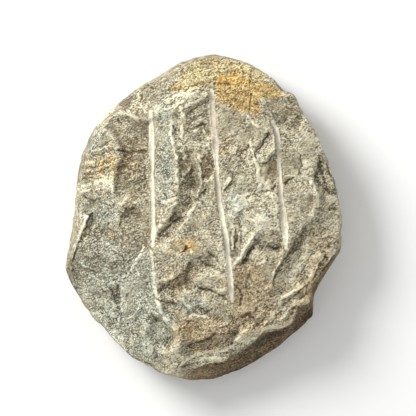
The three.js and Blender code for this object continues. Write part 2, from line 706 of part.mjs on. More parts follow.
/** The round bar that cuts one groove, following the stone's upper side. */
function grooveCutter({ path }) {
  const places = path.map(([x, y, climb]) => {
    const z = heightBeside(x, y) + GROOVE_LIFT + climb;
    return new THREE.Vector3(x, y, z);
  });
  const section = new THREE.Shape().absarc(0, 0, GROOVE_RADIUS, 0, 2 * Math.PI, false);
  return new THREE.ExtrudeGeometry(section, {
    steps: GROOVE_STEPS * (path.length - 1),
    curveSegments: GROOVE_SIDES / 2,
    bevelEnabled: false,
    extrudePath: new THREE.CatmullRomCurve3(places, false, 'centripetal'),
  });
}

// ---------------------------------------------------------------- solids

const wasm = await Module();
wasm.setup();

/** A closed geometry as a solid that can be cut. */
function solidOf(geometry) {
  const bare = geometry.clone();
  bare.deleteAttribute('normal');
  bare.deleteAttribute('uv');
  const merged = mergeVertices(bare, 1e-4);
  return new wasm.Manifold(new wasm.Mesh({
    numProp: 3,
    vertProperties: merged.attributes.position.array,
    triVerts: new Uint32Array(merged.index.array),
  }));
}

/** A solid as a geometry that can be drawn. */
function geometryOf(solid) {
  const { vertProperties, triVerts } = solid.getMesh();
  const geometry = new THREE.BufferGeometry();
  geometry.setAttribute('position', new THREE.BufferAttribute(vertProperties, 3));
  geometry.setIndex(new THREE.BufferAttribute(triVerts, 1));
  geometry.computeVertexNormals();
  return geometry;
}

/** The finished stone: its shell with the grooves cut out. */
function stoneGeometry() {
  let stone = solidOf(stoneShell());
  for (const groove of GROOVES) {
    stone = stone.subtract(solidOf(grooveCutter(groove)));
  }
  return geometryOf(stone);
}

// ---------------------------------------------------------------- the part

const stone = new THREE.Mesh(
  stoneGeometry(),
  new THREE.MeshStandardMaterial({ color: STONE_COLOUR, roughness: 0.88, metalness: 0 }),
);
stone.name = 'grooved_stone';

const part = new THREE.Group();
part.add(stone);

export default part;
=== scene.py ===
"""A hand-sized slab of split, weathered slate with three long grooves cut into its upper side.

The plain solid gives the slab its shape. This script gives it the broken surface of the stone:
chips, small ledges, crests, pits and bedding layers in the mesh, and colour and grain in the
material. Plan coordinates are millimetres seen from above, like those of the solid.
"""

import math

import bmesh
import bpy
import numpy as np
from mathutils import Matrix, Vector, noise


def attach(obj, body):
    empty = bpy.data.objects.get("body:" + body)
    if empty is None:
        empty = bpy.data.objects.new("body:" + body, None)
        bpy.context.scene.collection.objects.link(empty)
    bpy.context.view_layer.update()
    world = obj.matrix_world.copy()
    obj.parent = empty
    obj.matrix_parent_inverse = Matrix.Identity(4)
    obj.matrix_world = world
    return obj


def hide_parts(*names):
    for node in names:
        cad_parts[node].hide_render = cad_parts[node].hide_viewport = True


MM = 0.001

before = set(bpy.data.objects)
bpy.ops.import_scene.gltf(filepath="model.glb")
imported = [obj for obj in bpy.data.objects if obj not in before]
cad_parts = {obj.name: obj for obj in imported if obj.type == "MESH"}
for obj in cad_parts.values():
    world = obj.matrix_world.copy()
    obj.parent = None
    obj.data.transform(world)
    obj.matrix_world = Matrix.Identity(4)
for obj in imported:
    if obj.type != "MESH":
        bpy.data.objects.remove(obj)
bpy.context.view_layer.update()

# ---------------------------------------------------------------- the mesh, in millimetres

MERGE = 0.002  # corners of the solid nearer than this are one
SLIVER = 0.15  # edges shorter than this are closed up
FINE_EDGE = 0.52  # longest edge of the finished mesh beside a drawn line
TOP_EDGE = 1.15  # on the rest of the upper side
SIDE_EDGE = 1.3  # down the sides
UNDER_EDGE = 2.4  # underneath
REST_EDGE = 4 * UNDER_EDGE  # and on the flat face that the slab rests on
UPPER_FACING = 0.35  # edges whose normal rises more than this are on the upper side
SIDE_FACING = -0.25  # and those whose normal rises less than this are underneath
REFINE_ROUNDS = 6
MELT_ROUNDS = 3  # rounds of smoothing that melt the solid's flat triangles together
MELT_FACTOR = 0.5
FINE_REACH = 0.55  # the fine mesh reaches this far past a line
MAP_CELL = 0.5  # cells of the map that says where the mesh is fine
MAP_HALF = 70  # the map reaches this far from the origin
REST_LIMIT = 0.02  # points lower than this are on the flat face that the slab rests on
REST_RIM = 1.5  # over this height the broken surface grows from nothing to its full depth
UPWARD = (0.05, 0.45)  # how far a normal rises where the upper side begins and where it is full
DOWNWARD = (0.1, 0.6)  # and how far it falls, for the underside

# ---------------------------------------------------------------- the relief, in millimetres

BOLD_ROUNDS = 25  # rounds of smoothing that the boldness is measured from
BOLDNESS = 0.4  # the share by which ledges and hollows are made deeper
STEP_FACE = 0.5  # a ledge's face takes this much to either side of its line
STEP_TAPER = 1.5  # a ledge rises from nothing at its ends over this many times its reach
GROOVE_HALF = 1.2  # half width of the cut grooves
GROOVE_CUT = 0.18  # depth that is added to the grooves of the solid
GROOVE_MARGIN = 0.9  # over this distance beside a groove the broken surface grows back
LINE_SHARE = 0.7  # how much of its half width a line is drawn with
LINE_RIDGE = 1.2  # a line's relief starts this many drawn half widths out
LINE_FADE = (0.5, 1.4)  # its tone fades out between these many drawn half widths
RAISED_SHARE = 0.5  # how much of a raised line's height is given to the mesh
PATCH_FADE = (0.55, 1.35)  # a soft patch fades out between these shares of its half sizes

# Sideways pushes that make drawn things ragged: size of the waves, how far they push, and the
# two places in the noise that they are read from.
STEP_WANDER = (1.9, 0.35, (51.0, 57.0))
PATCH_WANDER = (4.0, 0.9, (3.1, 17.3))
GROOVE_WANDER = (1.7, 0.22, (41.0, 47.0))
LINE_WANDER = (2.2, 0.75, (21.0, 29.0))

# Flat-faced chips, coarse and fine: depth, size, turn in degrees, place in the noise, and lean.
CHIPS = [(0.13, 3.6, 35, 5.0, 1.6), (0.08, 1.7, 25, 2.0, 1.4)]
CHIP_STRETCH = (1.5, 0.9, 0.8)
PITS = (0.05, 0.9, 9.0)  # depth, size and place in the noise

# A line's width and height both come and go: mean, swing, size of the waves, place in the noise.
LINE_WIDTH = (1.0, 0.7, 1.6, 6.0)
LINE_HEIGHT = (0.75, 1.4, 1.1, 61.0)
LINE_HEIGHT_MOST = 1.6

# Bedding layers down the sides: weight, thickness, width in thicknesses, place in the noise.
BEDS = [(1.0, 1.3, 14, 4.0), (0.5, 0.55, 20, 8.0), (1.2, 3.4, 7, 12.0)]
BED_DEPTH = 0.45

# ---------------------------------------------------------------- light and view, in millimetres

KEY_DIRECTION = Vector((-0.6, 0.5, 0.62)).normalized()  # from the slab towards the main light
KEY_DISTANCE = 900
KEY_SIZE = 420
KEY_POWER = 8.0  # watts
FILL_STRENGTH = 0.66
FILL_COLOUR = (1.0, 1.0, 1.0, 1)
FLOOR_SIZE = 2000
FLOOR_COLOUR = (0.9, 0.9, 0.89, 1)
FLOOR_ROUGHNESS = 0.8
FRAME_WIDTH = 166.4  # width of the view
FRAME_HEIGHT = 15  # height over the floor at which the view is that wide
VIEW_MIDDLE = (1.6, 3.2)
LENS = 300
SENSOR = 36

# ---------------------------------------------------------------- where things are on the slab

# The three grooves: x, y and half width at each corner of their middle lines.
GROOVES = [
    [(-21.2, 41.5, 0.6), (-21.1, 38.4, 0.65), (-20.7, 32.4, 1.1), (-20.5, 24, 0.95),
     (-20.4, 20, 0.65), (-20.6, 17.5, 0.5), (-20.4, 12, 0.85), (-20.2, 6, 0.85), (-20.1, -2, 0.6),
     (-19.8, -5.2, 1.0), (-20.1, -8, 0.8), (-20.2, -12, 0.45)],
    [(3.2, 50, 0.6), (3.2, 45, 0.95), (3.5, 39, 1.1), (3.9, 34, 1.2), (4.5, 29, 1.3),
     (4.6, 25.3, 1.15), (4.9, 21.8, 0.7), (5.2, 17, 0.65), (5.5, 12.6, 0.75), (5.9, 8, 0.75),
     (6.5, 3.4, 0.85), (7.3, -1.2, 1.0), (8.5, -6.9, 0.85), (9.3, -12, 0.8), (9.8, -18, 0.85),
     (10.5, -24, 0.85), (10.7, -29, 1.0), (11.1, -33.4, 0.6)],
    [(27.2, 37.3, 0.7), (28.6, 34.7, 0.75), (29.2, 32, 0.8), (29.5, 29, 0.8), (29.5, 25, 0.6),
     (29.8, 20, 0.65), (30, 16, 0.7), (30.4, 11.8, 0.85), (30.4, 7.5, 0.9), (30.9, 4, 0.9),
     (31.4, 1, 1.15), (31.8, -3, 1.3), (32.1, -7, 1.15), (32.3, -10, 0.85), (32.3, -13, 0.45)],
]

# Soft patches of stain and tone: middle x, y, half width, half height, turn, strength.
OCHRE = [
    (12, 50, 8, 7, 0, 1), (15, 45, 5, 4, -20, 0.9), (24, 50, 6, 3, -10, 1), (28, 48, 4, 1.5, 0, 0.8),
    (20.5, 44, 2, 5, 0, 0.8), (7, 54, 3, 3, 0, 0.7), (-11.5, 50.8, 2.6, 1.3, 10, 0.6),
    (-38.5, 20, 5, 3.4, 20, 0.4), (-6, -44, 4, 3, 0, 0.22), (9, 27.5, 4, 5, 0, 0.36),
    (-4, -46, 6, 3, 0, 0.22), (-36.5, -7.8, 1.1, 0.9, 0, 1.2), (-5.5, -12, 2.6, 2, 0, 0.5),
]
OLIVE = [
    (6, 58, 16, 7, 0, 0.8), (-5, 53, 6, 4, 15, 0.9), (17, 57, 8, 4, -20, 0.7), (-40, 19, 10, 6, 15, 0.5),
    (-8, -12, 7, 4, 10, 0.6),
]
BROWN = [
    (32, -30, 24, 20, 30, 0.35), (48, -20, 6, 8, 0, 0.3), (5, -45, 14, 8, 0, 0.35),
    (10, -62, 20, 6, 15, 0.6), (34, -48, 12, 6, 35, 0.6), (-28, 12, 6, 18, 0, 0.3),
    (18, -32, 9, 13, 10, 0.8), (19.5, -41, 3, 2, 0, 0.6), (-8, -11, 6, 4, 0, 0.5),
    (47, -8, 8, 6, 0, 0.45), (-7, -46, 6, 5, 0, 0.5), (14, 26, 4, 3, 0, 0.4), (40, -38, 6, 5, 0, 0.5),
    (-28, 24, 6, 10, 0, 0.3), (1.8, 20, 3.5, 6, 0, 0.5), (-2, -45, 12, 5, 0, 0.8), (0, -52, 8, 3, 0, 0.9),
    (26, 17, 3, 6, 0, 0.6), (41.5, -30, 4, 5, 0, 1), (-9, -25, 8, 7, 0, 0.5), (25, 41, 12, 6, 0, 0.3),
]
BLUE_GREY = [
    (-45, 0, 14, 30, 0, 0.3), (-40, -28, 16, 20, 0, 0.6), (-28, -45, 16, 12, -30, 0.4),
    (-26, -30, 8, 18, 0, 0.9), (-19, -43, 8, 7, 0, 0.9), (-17, 42, 6, 5, 20, 0.4),
    (-16, 22, 5, 18, 0, 0.35), (12, 16, 6, 8, 0, 0.3), (-42, 2, 8, 6, 0, 0.5), (-5, -36, 7, 4, 0, 0.7),
    (-15, 15, 4, 12, 0, 0.45), (12, 4, 6, 6, 0, 0.6), (-3, 7, 5, 4, 0, 0.3), (-38, -42, 8, 8, -45, 0.5),
    (36, 8, 7, 10, 0, 0.3), (22, -1, 7, 4, 30, 0.4), (-24, -56, 8, 5, 0, 0.7), (-15, 34, 5, 8, 0, 0.35),
    (-42, 33, 6, 7, -40, 0.55), (-45, 27, 3, 5, 0, 0.3), (14, -13, 5, 6, 0, 0.4),
]
# Paler patches: partly the stone's own white and cream patches, partly painted highlight on lit ledges
# and crests.
PALE = [
    (33, -22, 4, 9, -35, 0.5), (48, -12, 4, 8, 0, 0.3), (-15, -18, 4, 8, 0, 0.25),
    (-12, 14, 2.5, 14, 0, 0.3), (-4, 44.5, 5, 2, 40, 0.4), (14, 25, 4, 3, 0, 0.4), (20, 13, 6, 3, 0, 0.4),
    (-17, -49, 5, 4, 0, 0.4), (-7, -45, 4, 4, 0, 0.4), (12, -50, 4, 2.5, 30, 0.6),
    (52, 20, 3, 10, 10, 0.3), (53.5, 1, 2, 5, 0, 0.6), (30, 12, 1.6, 8, 0, 0.3), (9, -2, 3, 4, 0, 0.4),
    (-38, 8, 3, 6, 0, 0.3), (12, 57, 9, 4, 0, 0.3), (45, 30, 4, 8, 0, 0.3), (50, 2, 4, 8, 0, 0.3),
    (48, -5, 6, 6, 0, 0.2), (-11.5, 46.8, 4.5, 2.6, 20, 1), (-5, 48.8, 5, 1.4, 30, 0.8),
    (-20.4, 40.6, 1.8, 1.2, 20, 1), (-18.8, 42.6, 2.4, 1, 40, 1), (26, 6, 3.5, 6, 0, 0.5),
    (27, -4, 2.5, 5, 0, 0.5), (7.4, 0, 1.4, 4, -15, 0.6), (-40, 12.4, 4.6, 2.2, 15, 1),
    (-36.4, 13.6, 2.6, 2.4, 0, 0.9), (-33.4, 8.6, 2, 2, 0, 0.8), (-48, 11, 2.4, 1.6, 0, 0.7),
    (-31, 6, 2.4, 3, 0, 0.5), (-41, 37, 2, 7, -40, 0.7), (-36.5, 42.5, 2, 4, -40, 0.8),
    (42, -18, 5, 9, -35, 0.3), (21.6, -1.2, 3, 2, -30, 1), (24.8, -3.2, 3.4, 2.4, 20, 1),
    (15.5, -6.6, 3, 1.6, -20, 0.8), (28, 4, 1.6, 4, 10, 0.9), (24.4, 13, 2, 3.4, 0, 0.6),
    (14.6, 5, 3, 2, 20, 0.6), (22.6, -5.6, 2, 1.6, 0, 0.8), (20, 2, 9, 9, 0, 0.4),
    (17, -12, 2, 7, -35, 0.7), (39.5, 13, 4, 3.5, 0, 0.6), (-13.5, 6, 3, 1.6, 0, 0.6),
    (6.5, -10, 2.5, 9, 0, 0.4), (-8.8, -4.5, 1.4, 1.4, 0, 0.7), (-50, -4, 3, 10, 10, 0.5),
    (-38, -44, 11, 2, -50, 0.5), (13, -48.5, 2, 1.2, 0, 0.8), (2, -57.4, 8, 1.3, 8, 0.9),
    (5, -54, 9, 1.5, 22, 1), (18, -48.6, 7.5, 1.3, 35, 1.1),
]
DULL_GROOVE = [
    (3.6, 38, 3, 12, 0, 0.75), (4.5, 27.5, 3, 3, 0, 0.35), (5.8, 9, 2.5, 4.5, 0, 0.6),
    (29.2, 27, 3, 9, 0, 0.45), (30.8, 5, 4, 10, 0, 0.6), (-20.6, 19.5, 2, 3, 0, 0.35),
]
# Darker patches: partly the stone's own dark tone, partly painted shade in hollows, under overhangs and
# on the steep side.
DARK = [
    (1.6, 20.5, 2.2, 3.6, 0, 0.9), (-7.5, 22.5, 2.2, 2.5, 0, 0.5), (-28, 12, 4.5, 15, 0, 0.5),
    (-30, -12, 3.5, 10, 0, 0.5), (-3, 38, 5, 8, 0, 0.9), (-7.5, 17, 2.8, 8.5, 0, 1),
    (26.5, 18, 2.6, 5, 0, 0.9), (46.5, 18, 2.5, 4, 20, 0.8), (51, 11, 2.5, 3.5, 0, 0.9),
    (31, 41, 9, 6, 0, 0.6), (-28, 25, 6, 3, 0, 0.6), (-33, 18.5, 1.2, 4, -10, 0.6),
    (-30, 33, 9, 7, 0, 0.5), (-30, 48, 5, 3, 35, 0.5), (-50, 18, 3, 8, 0, 0.3), (-52, -22, 3, 8, 10, 0.5),
    (28, -54, 24, 5, 33, 1), (-44, -14, 5, 8, 0, 0.4), (-5, -23, 3, 5, 0, 0.4), (42, -41, 4, 4, 0, 0.6),
    (15, -15, 2.5, 5, 0, 0.4), (-16, -24, 4, 3, 0, 0.4), (-6.5, -51, 3.5, 2, 0, 1),
    (25.5, -10.5, 6, 4, 0, 0.6), (-27, -8, 6, 14, 0, 0.3), (-43, -16, 9, 13, 0, 0.3),
    (12, -61, 18, 3.5, 20, 0.9), (30, -50, 12, 4, 35, 0.9), (40, -40, 5, 5, 0, 0.8),
    (33, -17, 2, 11, -40, 0.8), (-20, -41, 4, 4, 0, 0.3), (-11, -1, 1.7, 4, -35, 0.9),
    (-6.5, -20, 2, 3, -30, 0.6), (-6.6, 13, 3, 3, 0, 0.8), (-9, -27, 6, 1.5, 20, 0.6),
]

# Broad paler (+) and darker (-) patches: partly the stone's own tone, partly painted shade on the rims,
# the steep flank and under the brink, and painted light that lifts shaded places.
SHADES = [
    (-20, 50, 7, 4, 20, -0.25), (-31, 47, 4.5, 4, 35, -1), (-43, 13, 8, 14, 0, -0.3),
    (-28.8, 19, 5.2, 14, 0, -0.55), (-42, -14, 8, 12, 10, -0.45), (-41, -23, 7, 7, 0, -0.35),
    (-36, -31, 2.4, 5, 0, -0.5), (-53.4, -25.4, 3.6, 5.6, 0, -1.2), (-19.5, -44, 4, 5, 0, 0.25),
    (-15, 35, 4, 6, 0, 0.5), (-3, 18, 2, 9, 0, -0.6), (1.8, 20, 3, 5, 0, -0.8), (-10, -24, 7, 7, 0, -0.5),
    (-8, -37, 8, 6, 0, -0.4), (0, -45, 9, 5, 0, -0.25), (0, -51.5, 8, 2, 0, -0.2),
    (0, -57, 10, 3, 0, 0.2), (0, -64, 11, 3, 0, 1.2), (38, 20, 5, 7, 0, 0.35),
    (48, 18, 3.8, 6.2, 10, 0.5), (50, 5, 4, 4, 0, 0.5), (8.5, 27.5, 3.5, 5, 0, -0.55),
    (23.6, -2.6, 3.6, 3.4, 0, 1.1), (38, -17, 4.8, 5, -20, 0.5), (32.2, -26.2, 4.4, 5.4, -35, 1.8),
    (47, -22, 4, 7, -30, 0.3), (41.5, -30.3, 2.1, 3.8, 0, 1.1), (19, -30, 8, 14, 0, -0.25),
    (26, 17, 3, 5, 0, 0.9), (31.4, 17, 1.6, 5, 0, -0.5), (-48, 26, 3, 8, -15, -0.35),
    (-43.5, 11.3, 6, 3.2, 0, -0.2), (-43, 4, 6, 4, 0, -0.35), (-42, -41, 4, 7, 40, -0.3),
    (-5, 53, 6, 4, 15, 0.7), (24, 51, 5, 3, -10, 0.2), (25.5, -10.5, 5, 3.5, 0, 0.35),
    (-50, -1, 3, 6, 10, -0.4), (-50.6, -32, 2, 4, 35, -0.9), (-54, -13, 3, 8, 10, -0.3),
    (26, -48.5, 9, 1.6, 28, -0.9), (14, -53.8, 7, 1.1, 28, -0.7), (42.3, -40.3, 2.8, 3.4, 0, -2.5),
    (38.5, -43.5, 4, 3, 40, -0.7), (13, -44, 6, 4, 20, 0.15), (-15, 21, 3, 7, 0, -0.2),
]

# Sharp ledges: height, reach, and the line; the ground on the left of the line is the higher.
STEPS = [
    (0.45, 2.6, [(-35.4, 7), (-35.3, 14.5), (-34, 19), (-33, 22), (-31.8, 24.5), (-33.2, 27.5),
                 (-34, 31)]),
    (0.5, 2.2, [(-9, 38), (-7, 40.4), (-5, 42), (-2.5, 44.2), (0, 45.7), (2.2, 46.4)]),
    (0.4, 1.8, [(-10, 7), (-9.6, 12), (-9.6, 16), (-10, 19), (-10.4, 22), (-9, 24.5),
                (-6, 25.8)]),
    (0.4, 1.6, [(0, 14), (-0.2, 17), (-0.6, 20), (-1, 22.6), (1, 24.2), (3, 25.2)]),
    (0.8, 2.6, [(26.4, -31), (26.8, -27), (27.4, -24.6), (28.8, -22), (30.6, -19.4), (32.6, -15.8),
                (35, -11), (36, -8)]),
    (0.5, 2.0, [(24, 11), (24.2, 15), (25, 18), (27.6, 22.5)]),
    (0.5, 2.0, [(43.5, 12), (44, 17), (45, 21), (46.5, 25)]),
    (0.5, 2.2, [(-33.4, -47), (-33.2, -38), (-33.4, -30), (-33, -24)]),
    (0.5, 2.2, [(-6.5, -49.5), (-3, -49.3), (2, -48.6), (8, -47.6), (11, -45.5)]),
    (0.4, 2.0, [(20.2, -8), (21.5, -5.6), (26, -5.4), (30, -6)]),
]

# Where the upper side ends and the dark, steep side begins, from left to right.
BRINK = [(-12, -66), (-10.5, -62), (0, -59.2), (8, -58), (10, -55.5), (16, -53), (20, -49.5),
         (24, -46.2), (30, -45.4), (34, -43.5), (36, -40), (37.5, -36.5), (40, -35.5), (42, -35),
         (41, -31), (43, -26.5), (46, -23), (49.5, -18.5), (53.5, -13), (58, -9)]

